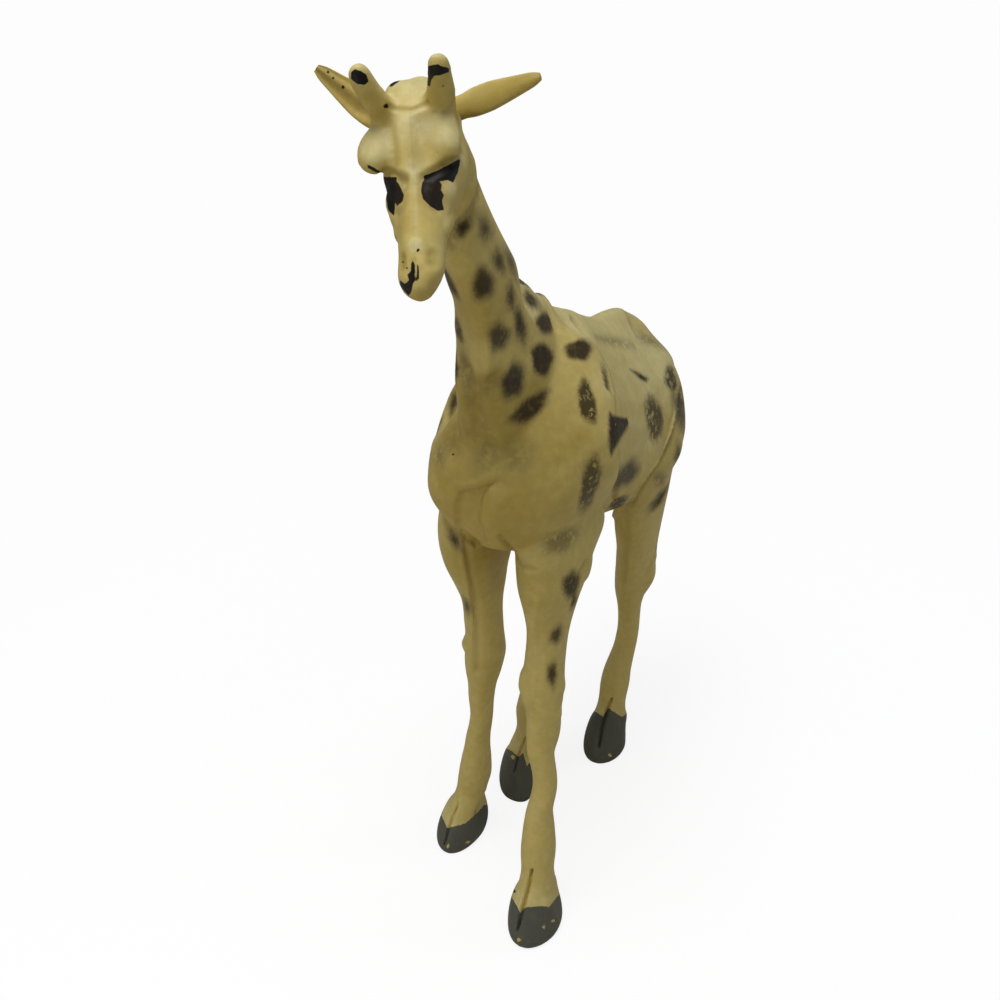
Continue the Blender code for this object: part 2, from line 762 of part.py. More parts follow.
def make_clefts(group):
    """Wedges that split the front of each hoof."""
    bm = bmesh.new()
    for name in STEP_SHARES:
        toe = leg_middle(name, 0).y - HOOF_LENGTH / 2
        middle = leg_seam(name, HOOF_HEIGHT / 2)
        tall = HOOF_HEIGHT + CLEFT_RISE
        pose = Matrix.Translation(Vector((middle, toe, tall / 2 - CLEFT_WIDTH)))
        lean = Matrix.Rotation(-math.atan2(HOOF_LENGTH * CLEFT_LEAN_SHARE, tall), 4, "X")
        size = Vector((CLEFT_WIDTH, CLEFT_DEPTH, tall * CLEFT_OVERLAP_SHARE))
        bmesh.ops.create_cone(
            bm,
            cap_ends=True,
            segments=3,
            radius1=1,
            radius2=CLEFT_TIP_SHARE,
            depth=1,
            matrix=pose @ lean @ Matrix.Diagonal(size).to_4x4(),
        )
    made = object_from(bm, "clefts", group)
    hide_tool(made)
    return made


def leg_pins(name):
    """Places along the animal and heights of the pins inside one leg."""
    joint = KNEE_HEIGHT if name.startswith("fore") else HOCK_HEIGHT
    heights = (joint, (joint + leg_shell_top(name)) / 2)
    return [(leg_middle(name, height).y, height) for height in heights]


def body_pins():
    """Places along the animal and heights of the pins between the body halves."""
    places = []
    for along, rise in TRUNK_PIN_SHARES:
        places.append((TRUNK_FRONT + TRUNK_LENGTH * along, BRISKET_HEIGHT + TRUNK_DEPTH * rise))
    head = in_head(0, HEAD_LENGTH * HEAD_PIN_SHARE, 0)
    places.append((head.y, head.z))
    return places


def make_bosses(group):
    """Posts left standing in the hollow round every pin."""
    bm = bmesh.new()
    for along, height in body_pins():
        start = Vector((-SHOULDER_WIDTH, along, height))
        end = Vector((SHOULDER_WIDTH, along, height))
        add_peg(bm, start, end, BOSS_WIDTH)
    for name in STEP_SHARES:
        for along, height in leg_pins(name):
            middle = leg_seam(name, height)
            start = Vector((middle - ELBOW_WIDTH / 2 - WALL, along, height))
            end = Vector((middle + ELBOW_WIDTH / 2 + WALL, along, height))
            add_peg(bm, start, end, LEG_BOSS_WIDTH)
    made = object_from(bm, "bosses", group)
    hide_tool(made)
    return made


def make_body_saw(group):
    """Thin sheet down the midplane, as thick as the gap between the glued halves."""
    bm = bmesh.new()
    half = FIT_GAP / 2
    reach = TRUNK_LENGTH + OVERRUN
    bottom = min(leg_shell_top(name) for name in STEP_SHARES) + FIT_GAP
    top = POLL.z + HORN_LENGTH + OVERRUN
    add_box(bm, Vector((-half, -reach, bottom)), Vector((half, reach, top)))
    made = object_from(bm, "body_saw", group)
    hide_tool(made)
    return made


def make_leg_saw(name, group):
    """Thin sheet round the inner shell of one leg: down its seam and over its top."""
    side = leg_side(name)
    half = FIT_GAP / 2
    top = leg_shell_top(name)
    upper = leg_seam(name, top)
    lower = leg_seam(name, -OVERRUN)
    inner = side * FIT_GAP
    front, back = leg_reach(name)
    outline = (
        (lower + side * half, -OVERRUN),
        (upper + side * half, top + half),
        (inner, top + half),
        (inner, top - half),
        (upper - side * half, top - half),
        (lower - side * half, -OVERRUN),
    )
    bm = bmesh.new()
    verts = bmesh.ops.create_circle(bm, cap_ends=True, segments=len(outline), radius=1)["verts"]
    for vert, (x, z) in zip(verts, outline):
        vert.co = Vector((x, front, z))
    grown = bmesh.ops.extrude_face_region(bm, geom=list(bm.faces))["geom"]
    moved = [item for item in grown if isinstance(item, bmesh.types.BMVert)]
    bmesh.ops.translate(bm, verts=moved, vec=ALONG * (back - front))
    made = object_from(bm, f"{name}_saw", group)
    hide_tool(made)
    return made


def loose_pieces(source, group):
    """Splits an object into its separate closed bodies."""
    bm = bmesh.new()
    bm.from_mesh(source.data)
    left = set(bm.verts)
    islands = []
    while left:
        reached = {left.pop()}
        edge_of_search = list(reached)
        while edge_of_search:
            vert = edge_of_search.pop()
            for edge in vert.link_edges:
                other = edge.other_vert(vert)
                if other in left:
                    left.discard(other)
                    reached.add(other)
                    edge_of_search.append(other)
        islands.append([vert.index for vert in reached])
    bm.free()
    pieces = []
    for kept in islands:
        keep = set(kept)
        bm = bmesh.new()
        bm.from_mesh(source.data)
        gone = [vert for vert in bm.verts if vert.index not in keep]
        bmesh.ops.delete(bm, geom=gone, context="VERTS")
        mesh = bpy.data.meshes.new("piece")
        bm.to_mesh(mesh)
        bm.free()
        made = bpy.data.objects.new("piece", mesh)
        group.objects.link(made)
        pieces.append(made)
    bpy.data.objects.remove(source)
    return pieces


def middle_of(piece):
    """Middle of an object's bounding box."""
    corners = [Vector(corner) for corner in piece.bound_box]
    return sum(corners, Vector()) / len(corners)


def name_pieces(pieces):
    """Tells the mouldings apart by where they lie."""
    named = {}
    by_size = sorted(pieces, key=lambda piece: len(piece.data.vertices), reverse=True)
    for piece in by_size[:2]:
        named["body_left_half" if middle_of(piece).x > 0 else "body_right_half"] = piece
    for piece in by_size[2:6]:
        centre = middle_of(piece)
        side = "left" if centre.x > 0 else "right"
        reach = {
            pair: abs(leg_middle(f"{pair}_{side}", centre.z).y - centre.y)
            for pair in ("foreleg", "hindleg")
        }
        pair = min(reach, key=reach.get)
        named[f"{pair}_{side}_inner"] = piece
    for name, piece in named.items():
        piece.name = name
        piece.data.name = name
    return named


def pin_body(named, group):
    """Pins on the left half of the body and their bores in the right half."""
    pins = bmesh.new()
    bores = bmesh.new()
    for along, height in body_pins():
        root = Vector((PIN_REACH, along, height))
        tip = Vector((-PIN_REACH, along, height))
        add_peg(pins, root, tip, PIN_WIDTH)
        add_peg(bores, root, tip - ACROSS * FIT_GAP, PIN_WIDTH + 2 * FIT_GAP)
    pins = object_from(pins, "body_pins", group)
    bores = object_from(bores, "body_bores", group)
    hide_tool(pins)
    hide_tool(bores)
    boolean(named["body_left_half"], pins, "UNION", SEAM_SOLVER)
    boolean(named["body_right_half"], bores, "DIFFERENCE", SEAM_SOLVER)


def pin_leg(named, name, group):
    """Pins on a leg's inner shell and their bores in the body half outside it."""
    side = leg_side(name)
    pins = bmesh.new()
    bores = bmesh.new()
    for along, height in leg_pins(name):
        middle = leg_seam(name, height)
        root = Vector((middle - side * LEG_PIN_REACH, along, height))
        tip = Vector((middle + side * LEG_PIN_REACH, along, height))
        add_peg(pins, root, tip, LEG_PIN_WIDTH)
        add_peg(bores, root, tip + ACROSS * (side * FIT_GAP), LEG_PIN_WIDTH + 2 * FIT_GAP)
    pins = object_from(pins, f"{name}_pins", group)
    bores = object_from(bores, f"{name}_bores", group)
    hide_tool(pins)
    hide_tool(bores)
    boolean(named[f"{name}_inner"], pins, "UNION", SEAM_SOLVER)
    half = "body_left_half" if side > 0 else "body_right_half"
    boolean(named[half], bores, "DIFFERENCE", SEAM_SOLVER)


def turn_head(piece):
    """Twists the neck about its own line and carries the head round with it."""
    for vert in piece.data.vertices:
        along = (vert.co - NECK_ROOT).dot(NECK_AXIS) / NECK_LENGTH
        share = ease((along - TWIST_START_SHARE) / TWIST_SPAN_SHARE)
        centre = NECK_ROOT + NECK_AXIS * (NECK_LENGTH * min(max(along, 0), 1))
        if share > 0:
            turn = Matrix.Rotation(HEAD_TURN * share, 3, NECK_AXIS)
            turn = turn @ Matrix.Rotation(HEAD_TILT * share, 3, FACE_AXIS)
            vert.co = centre + turn @ (vert.co - centre) + ACROSS * (NECK_SWAY * share)


def finish(piece, name, group, stand):
    """Gives a moulding its material, shading and parent."""
    piece.name = name
    piece.data.name = name
    for other in list(piece.users_collection):
        other.objects.unlink(piece)
    group.objects.link(piece)
    material = bpy.data.materials.new(name)
    material.use_nodes = True
    shader = material.node_tree.nodes["Principled BSDF"]
    shader.inputs["Base Color"].default_value = IVORY
    shader.inputs["Roughness"].default_value = PLASTIC_ROUGHNESS
    shader.inputs["Metallic"].default_value = 0
    piece.data.materials.clear()
    piece.data.materials.append(material)
    piece.data.shade_smooth()
    piece.data.set_sharp_from_angle(angle=SHARP_ANGLE)
    piece.parent = stand


def main():
    """Builds every moulding in an empty scene."""
    for item in list(bpy.data.objects):
        bpy.data.objects.remove(item, do_unlink=True)
    parts = collection("toy_giraffe")
    tools = collection("cutters")

    skin = make_skin(parts)
    boolean(skin, make_clefts(tools), "DIFFERENCE")
    boolean(skin, make_trimmer(tools), "DIFFERENCE")
    cavity = make_cavity(tools)
    hide_tool(cavity)
    boolean(cavity, make_bosses(tools), "DIFFERENCE")
    boolean(skin, cavity, "DIFFERENCE")
    for saw in [make_body_saw(tools)] + [make_leg_saw(name, tools) for name in STEP_SHARES]:
        boolean(skin, saw, "DIFFERENCE", SEAM_SOLVER)
    named = name_pieces(loose_pieces(skin, parts))
    pin_body(named, tools)
    for name in STEP_SHARES:
        pin_leg(named, name, tools)
    for side, name in ((1, "ear_left"), (-1, "ear_right")):
        bm = bmesh.new()
        add_ear(bm, side)
        named[name] = object_from(bm, name, parts)
    bm = bmesh.new()
    add_tail(bm)
    named["tail"] = object_from(bm, "tail", parts)

    for piece in named.values():
        turn_head(piece)
    low = Vector((min(v.co[i] for p in named.values() for v in p.data.vertices) for i in range(3)))
    high = Vector((max(v.co[i] for p in named.values() for v in p.data.vertices) for i in range(3)))
    stand = bpy.data.objects.new("stand_point", None)
    parts.objects.link(stand)
    stand.location = Vector((-(low.x + high.x) / 2, -(low.y + high.y) / 2, -low.z))
    for name, piece in named.items():
        finish(piece, name, parts, stand)


main()
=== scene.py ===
"""Looks of a toy giraffe moulded in ivory plastic: carved shells, sprayed spots, brushed hooves.

It is laid out as an add-on and run as a script. The skin is shaped with the head held straight,
carved where the photograph shows folds, cut into its mouldings, and only then turned and painted.
Pixels are those of the photograph's 1000 x 1000 frame, and reach the skin through the camera.
"""
import math

import bmesh
import bpy
import numpy as np
from bpy.props import FloatProperty, FloatVectorProperty, IntProperty, PointerProperty
from bpy.types import Operator, Panel, PropertyGroup
from mathutils import Matrix, Vector
from mathutils.bvhtree import BVHTree
from mathutils.interpolate import poly_3d_calc


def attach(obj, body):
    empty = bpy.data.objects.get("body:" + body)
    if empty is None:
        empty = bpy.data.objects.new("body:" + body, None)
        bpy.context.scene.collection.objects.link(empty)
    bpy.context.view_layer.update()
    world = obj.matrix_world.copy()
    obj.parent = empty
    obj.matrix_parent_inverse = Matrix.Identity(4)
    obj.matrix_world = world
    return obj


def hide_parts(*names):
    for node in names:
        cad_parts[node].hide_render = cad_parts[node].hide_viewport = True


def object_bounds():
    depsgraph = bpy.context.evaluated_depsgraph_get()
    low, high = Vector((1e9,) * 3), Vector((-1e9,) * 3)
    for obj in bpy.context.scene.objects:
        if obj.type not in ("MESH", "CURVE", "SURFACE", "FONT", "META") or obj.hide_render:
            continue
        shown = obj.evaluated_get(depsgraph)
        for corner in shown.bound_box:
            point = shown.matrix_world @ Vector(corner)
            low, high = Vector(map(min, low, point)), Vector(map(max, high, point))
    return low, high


bl_info = {
    "name": "Toy Giraffe",
    "version": (1, 0, 0),
    "blender": (4, 5, 0),
    "location": "3D View > Sidebar > Giraffe",
    "description": "Dresses a moulded toy giraffe and sets it on a white table",
    "category": "Object",
}

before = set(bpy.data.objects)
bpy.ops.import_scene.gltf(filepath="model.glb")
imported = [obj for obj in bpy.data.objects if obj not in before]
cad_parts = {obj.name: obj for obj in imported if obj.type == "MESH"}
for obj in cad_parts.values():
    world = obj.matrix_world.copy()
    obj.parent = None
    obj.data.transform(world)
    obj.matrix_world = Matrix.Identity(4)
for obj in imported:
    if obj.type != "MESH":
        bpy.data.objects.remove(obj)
CAD_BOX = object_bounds()
BODY = "root"

MM = 0.001

# Trunk
BRISKET_HEIGHT = 145 * MM
BELLY_HEIGHT = 130 * MM
TRUNK_DEPTH = 75 * MM
TRUNK_LENGTH = 132 * MM
TRUNK_FRONT = -44 * MM
SHOULDER_WIDTH = 56 * MM
HAUNCH_WIDTH = 50 * MM

# Neck
NECK_LENGTH = 94 * MM
NECK_LEAN = math.radians(28)
NECK_SWAY = -3 * MM
NECK_ROOT_WIDTH = 27 * MM
NECK_ROOT_DEPTH = 52 * MM
NECK_TOP_WIDTH = 14 * MM
NECK_TOP_DEPTH = 21 * MM

# Head, measured from the poll along the face
HEAD_LENGTH = 57 * MM
HEAD_DEPTH = 23 * MM
HEAD_WIDTH = 19 * MM
HEAD_PITCH = math.radians(40)
HEAD_TURN = math.radians(23)
HEAD_TILT = math.radians(2)
BROW_SIZE = 9 * MM
BROW_LEFT_PLACE = 7 * MM
BROW_RIGHT_PLACE = 9 * MM
HORN_LENGTH = 12.4 * MM
HORN_WIDTH = 5 * MM
HORN_SPREAD = 11 * MM

# Ears and tail
EAR_LENGTH = 18.6 * MM
EAR_LEFT_WIDTH = 6.6 * MM
EAR_RIGHT_WIDTH = 7 * MM
EAR_THICKNESS = 3 * MM
EAR_TANG = 3.5 * MM
TAIL_LENGTH = 74 * MM
TAIL_WIDTH = 4.6 * MM
TAIL_TUFT_WIDTH = 7.5 * MM
TAIL_PLUG = 4 * MM

# Legs: height of each joint, then its width and depth
JOINT_SIZES = {
    "shoulder": (186 * MM, 18 * MM, 28 * MM),
    "elbow": (140 * MM, 20 * MM, 37 * MM),
    "knee": (93 * MM, 13.8 * MM, 15 * MM),
    "hip": (180 * MM, 24 * MM, 46 * MM),
    "stifle": (138 * MM, 20 * MM, 37 * MM),
    "hock": (90 * MM, 14.4 * MM, 22 * MM),
    "cannon": (61.5 * MM, 9.8 * MM, 11.4 * MM),
    "fetlock": (30 * MM, 12 * MM, 14.4 * MM),
    "hoof": (15 * MM, 17 * MM, 24.5 * MM),
}
FORELEG_JOINTS = ("shoulder", "elbow", "knee", "fetlock", "hoof")
HINDLEG_JOINTS = ("hip", "stifle", "hock", "fetlock", "hoof")
FORELEG_PLACE = -17 * MM
HINDLEG_PLACE = 62 * MM
STEP_LENGTH = 40 * MM
STANCE = {
    "foreleg_left": (13.4 * MM, 15 * MM, 20 * MM, 23.4 * MM),
    "foreleg_right": (14.4 * MM, 11.6 * MM, 17.4 * MM, 22 * MM),
    "hindleg_left": (14.4 * MM, 11.3 * MM, 8.3 * MM, 9 * MM),
    "hindleg_right": (13.5 * MM, 12 * MM, 13 * MM, 14.4 * MM),
}
LEG_SEAMS = {
    "foreleg_left": (13.6 * MM, 22 * MM),
    "foreleg_right": (10.4 * MM, 20 * MM),
    "hindleg_left": (12.8 * MM, 7.6 * MM),
    "hindleg_right": (12.2 * MM, 13.4 * MM),
}
LEG_SHELL_DROP = 4 * MM
LEG_SAW_ROOM = 2 * MM

# Fineness of the modelling
SNAP_STEP = 0.02 * MM
FINE_SOFTENINGS = 7
OTHER_SIDE_SOFTENINGS = 14
RING_SIDES = 32
SMALL_RING_SIDES = 24
ROW_STEPS = 6
EAR_ROW_STEPS = 8
OVERRUN = 20 * MM
SMALLEST_SHELL = 500
SHELL_COUNT = 6
LEG_PAIRS = ("foreleg", "hindleg")

# How far the painted shade and dust of a fold spread past it, how a step's ends fade and how much painted
# shade and dust steps and hollows hold
CREASE_BOX_SHARE = 1.5
CREASE_WIDTH_SHARE = 1.3
STEP_END_SHARE = 0.2
STEP_CREASE = 0.7
HOLLOW_CREASE = 2
SLIT_OPENING_SHARE = 1.3
SLIT_END_SHARE = 0.55

SHARP_ANGLE = math.radians(50)
HOOF_ZONE = 38 * MM
STROKE_STEP = 6
SEAM_SOLVER = "MANIFOLD"

# The photograph's frame and the lens that took it
PHOTO_SIDE = 1000
SENSOR = 36 * MM
LENS = 40 * MM
PIXEL_LENS = PHOTO_SIDE * LENS / SENSOR

TRUNK_SHARES = (
    (0.000, 0.50, 0.20, 0.0, 0.22, 0.00),
    (0.025, 0.62, 0.11, 0.0, 0.50, 0.00),
    (0.080, 0.76, 0.03, 0.0, 0.76, 0.00),
    (0.150, 0.89, 0.00, 0.0, 0.92, 0.00),
    (0.260, 1.00, 0.00, 0.1, 0.98, 0.00),
    (0.360, 0.94, 0.00, 0.45, 0.72, 0.26),
    (0.480, 0.82, 0.00, 0.9, 0.50, 0.49),
    (0.600, 0.73, 0.00, 1.0, 0.24, 0.76),
    (0.710, 0.70, 0.02, 0.6, 0.00, 0.94),
    (0.800, 0.67, 0.08, 0.2, 0.00, 0.84),
    (0.890, 0.58, 0.15, 0.0, 0.00, 0.70),
    (0.960, 0.46, 0.21, 0.0, 0.00, 0.54),
    (1.000, 0.36, 0.28, 0.0, 0.00, 0.22),
)
TRUNK_RIDGE_SHARE = 0.56
TRUNK_WAIST_SHARE = 0.42
NECK_SHARES = (
    (0.00, 0.00, 0.00),
    (0.16, 0.30, -0.01),
    (0.32, 0.62, -0.01),
    (0.50, 0.83, 0.00),
    (0.68, 0.93, 0.00),
    (0.84, 0.98, 0.00),
    (1.00, 1.00, 0.00),
)
NECK_RIDGE_SHARE = 0.2
NECK_ROOT_SHARES = (0.18, 0.68)
TWIST_START_SHARE = 0.25
TWIST_SPAN_SHARE = 0.6
HEAD_SHARES = (
    (-0.17, 0.10, -0.16, 0.10),
    (-0.12, 0.22, -0.32, 0.28),
    (0.00, 0.42, -0.42, 0.42),
    (0.13, 0.44, -0.50, 0.49),
    (0.24, 0.38, -0.54, 0.52),
    (0.35, 0.30, -0.50, 0.45),
    (0.46, 0.25, -0.42, 0.35),
    (0.57, 0.20, -0.36, 0.29),
    (0.67, 0.16, -0.33, 0.27),
    (0.75, 0.11, -0.33, 0.28),
    (0.80, 0.04, -0.30, 0.22),
    (0.83, -0.05, -0.22, 0.10),
)
HEAD_RIDGE_SHARE = 0.15
BROW_PLACE_SHARE = 0.22
BROW_LIFT_SHARE = 0.20
BROW_FORM_SHARES = (1.15, 1.35, 0.85)
HORN_PLACE_SHARE = 0.10
HORN_LIFT_SHARE = 0.38
HORN_SPLAY_SHARE = 0.24
HORN_TILT_SHARE = -0.05
HORN_SHARES = ((0.00, 1.45), (0.30, 1.34), (0.60, 1.14), (0.80, 1.04), (0.92, 0.88), (1.00, 0.50))
EAR_SHARES = (
    (0.00, 0.85), (0.15, 1.00), (0.35, 1.00), (0.55, 0.84), (0.75, 0.64), (0.90, 0.48), (1.00, 0.26),
)
EAR_CUP_START_SHARE = 0.33
EAR_TAPER_SHARE = 1.6
EAR_ROOT_SHARES = (0.50, 0.02, 0.03)
EAR_FACING_SHARES = (0.0, 0.4, 1.0)
EAR_LEFT_AIM_SHARES = (0.97, -0.03, 0.215)
EAR_RIGHT_AIM_SHARES = (-0.72, -0.53, 0.55)
# Depth of each ear's hollow, then the place, height and width of the fold in it
EAR_LEFT_HOLLOW_SHARES = (0.35, 0.3, 0.5, 0.5)
EAR_RIGHT_HOLLOW_SHARES = (1.25, 0.15, 0.8, 0.35)
TAIL_SHARES = (
    (0.00, 1.0, 0.0),
    (0.20, 0.9, 0.0),
    (0.50, 0.7, 0.0),
    (0.62, 0.4, 0.5),
    (0.78, 0.0, 1.0),
    (0.92, 0.0, 0.7),
    (1.00, 0.0, 0.25),
)
TAIL_ROOT_SHARE = 0.32
TAIL_DROOP_SHARE = 0.10
TAIL_BEND_SHARE = 0.12
TAIL_STRANDS = 7
TAIL_STRAND_SHARE = 0.09
FORELEG_SHARES = (
    ("shoulder", 1.03, 0.60, 0.50),
    ("shoulder", 0.97, 0.95, 0.90),
    ("shoulder", 0.87, 1.06, 1.02),
    ("elbow", 1.05, 1.06, 1.04),
    ("elbow", 0.96, 1.00, 0.94),
    ("elbow", 0.88, 0.78, 0.66),
    ("knee", 1.22, 0.96, 1.06),
    ("knee", 1.10, 0.96, 0.98),
    ("knee", 1.00, 1.04, 1.04),
    ("knee", 0.90, 0.90, 0.90),
    ("cannon", 1.20, 0.96, 0.97),
    ("cannon", 0.80, 0.91, 0.92),
    ("fetlock", 1.28, 0.90, 0.90),
    ("fetlock", 1.00, 1.00, 1.00),
    ("fetlock", 0.74, 0.94, 0.92),
    ("hoof", 1.06, 0.76, 0.74),
    ("hoof", 0.90, 0.92, 0.86),
    ("hoof", 0.55, 1.04, 0.98),
    ("hoof", 0.25, 1.06, 1.03),
    ("hoof", 0.10, 1.02, 1.00),
    ("hoof", 0.00, 0.92, 0.92),
    ("hoof", -0.06, 0.70, 0.74),
)
HINDLEG_SHARES = (
    ("hip", 0.97, 0.40, 0.45),
    ("hip", 0.91, 0.72, 0.80),
    ("hip", 0.83, 1.02, 1.00),
    ("stifle", 1.00, 1.02, 1.00),
    ("stifle", 0.90, 0.92, 0.88),
    ("stifle", 0.80, 0.80, 0.80),
    ("hock", 1.10, 1.04, 1.02),
    ("hock", 1.00, 1.02, 1.00),
    ("hock", 0.88, 0.92, 0.80),
    ("cannon", 1.10, 0.96, 0.98),
    ("cannon", 0.80, 0.94, 0.94),
    ("fetlock", 1.28, 0.90, 0.90),
    ("fetlock", 1.00, 1.00, 1.00),
    ("fetlock", 0.74, 0.94, 0.92),
    ("hoof", 1.06, 0.76, 0.72),
    ("hoof", 0.90, 0.90, 0.84),
    ("hoof", 0.55, 1.02, 0.96),
    ("hoof", 0.25, 1.03, 1.00),
    ("hoof", 0.10, 0.98, 0.97),
    ("hoof", 0.00, 0.88, 0.89),
    ("hoof", -0.06, 0.68, 0.72),
)
STEP_SHARES = {
    "foreleg_left": (0.00, 0.03, -0.20, -0.40, -0.58),
    "foreleg_right": (0.00, 0.05, 0.05, 0.16, 0.12),
    "hindleg_left": (0.00, -0.10, 0.17, 0.08, -0.14),
    "hindleg_right": (0.00, -0.40, -0.55, -0.90, -0.97),
}

# Pulls that bring the plain form to the photograph's outline, head and neck before trunk and
# legs. Each: what it moves, how far it reaches, the pixel it takes hold of and where that goes
PULLS = (
    ("tip of the left horn", 7 * MM, (440, 50), (439, 52)),
    ("tip of the right horn", 7 * MM, (357, 66), (359, 62)),
    ("crown", 13 * MM, (421, 75), (414, 82)),
    ("right of the crown", 8 * MM, (394, 88), (389, 82)),
    ("right brow", 9 * MM, (361, 145), (363, 150)),
    ("left temple", 9 * MM, (470, 130), (460, 131)),
    ("left cheek", 9 * MM, (469, 164), (474, 163)),
    ("under the right eye", 7 * MM, (392, 214), (387, 215)),
    ("edge of the left cheek", 8 * MM, (457, 222), (450, 219)),
    ("corner of the chin", 6 * MM, (442, 289), (438, 286)),
    ("upper throat", 13 * MM, (456, 285), (465, 285)),
    ("throat", 14 * MM, (458, 325), (472, 325)),
    ("lower throat", 12 * MM, (460, 362), (478, 367)),
    ("nape over the withers", 10 * MM, (528, 286), (515, 292)),
    ("withers", 9 * MM, (547, 302), (548, 295)),
    ("back of the withers", 14 * MM, (564, 311), (561, 322)),
    ("dip behind the withers", 12 * MM, (573, 314), (571, 322)),
    ("top of the rump", 20 * MM, (648, 335), (646, 343)),
    ("croup", 12 * MM, (646, 326), (639, 330)),
    ("behind the croup", 11 * MM, (662, 342), (656, 345)),
    ("haunch", 20 * MM, (674, 392), (678, 391)),
    ("back of the thigh", 10 * MM, (674, 458), (678, 458)),
    ("crest of the right shoulder", 20 * MM, (451, 384), (461, 388)),
    ("top of the right shoulder", 14 * MM, (444, 402), (454, 404)),
    ("right shoulder", 14 * MM, (436, 478), (431, 478)),
    ("foot of the right shoulder", 12 * MM, (442, 503), (437, 503)),
    ("back of the left elbow", 12 * MM, (595, 521), (604, 518)),
    ("left elbow", 11 * MM, (583, 562), (588, 560)),
    ("between the forelegs", 12 * MM, (508, 560), (502, 565)),
    ("right knee", 12 * MM, (470, 650), (472, 650)),
    ("right foreleg", 13 * MM, (468, 720), (471, 720)),
    ("right forehoof", 15 * MM, (457, 832), (449, 844)),
    ("heel of the right forehoof", 11 * MM, (489, 809), (476, 812)),
    ("inner side under the left knee", 8 * MM, (524, 718), (528, 718)),
    ("outer side under the left knee", 9 * MM, (556, 732), (560, 732)),
    ("left foreleg", 15 * MM, (535, 790), (543, 790)),
    ("left forehoof", 15 * MM, (533, 922), (530, 916)),
    ("heel of the left forehoof", 9 * MM, (561, 896), (555, 897)),
    ("right hind pastern", 11 * MM, (516, 733), (523, 735)),
    ("right hind hoof", 13 * MM, (507, 778), (512, 792)),
    ("toe of the right hind hoof", 8 * MM, (525, 790), (527, 796)),
    ("left hind shank", 22 * MM, (620, 640), (625, 640)),
    ("left hock", 9 * MM, (650, 578), (654, 578)),
    ("left hind hoof", 14 * MM, (604, 745), (605, 742)),
    ("heel of the left hind hoof", 8 * MM, (628, 730), (625, 730)),
)

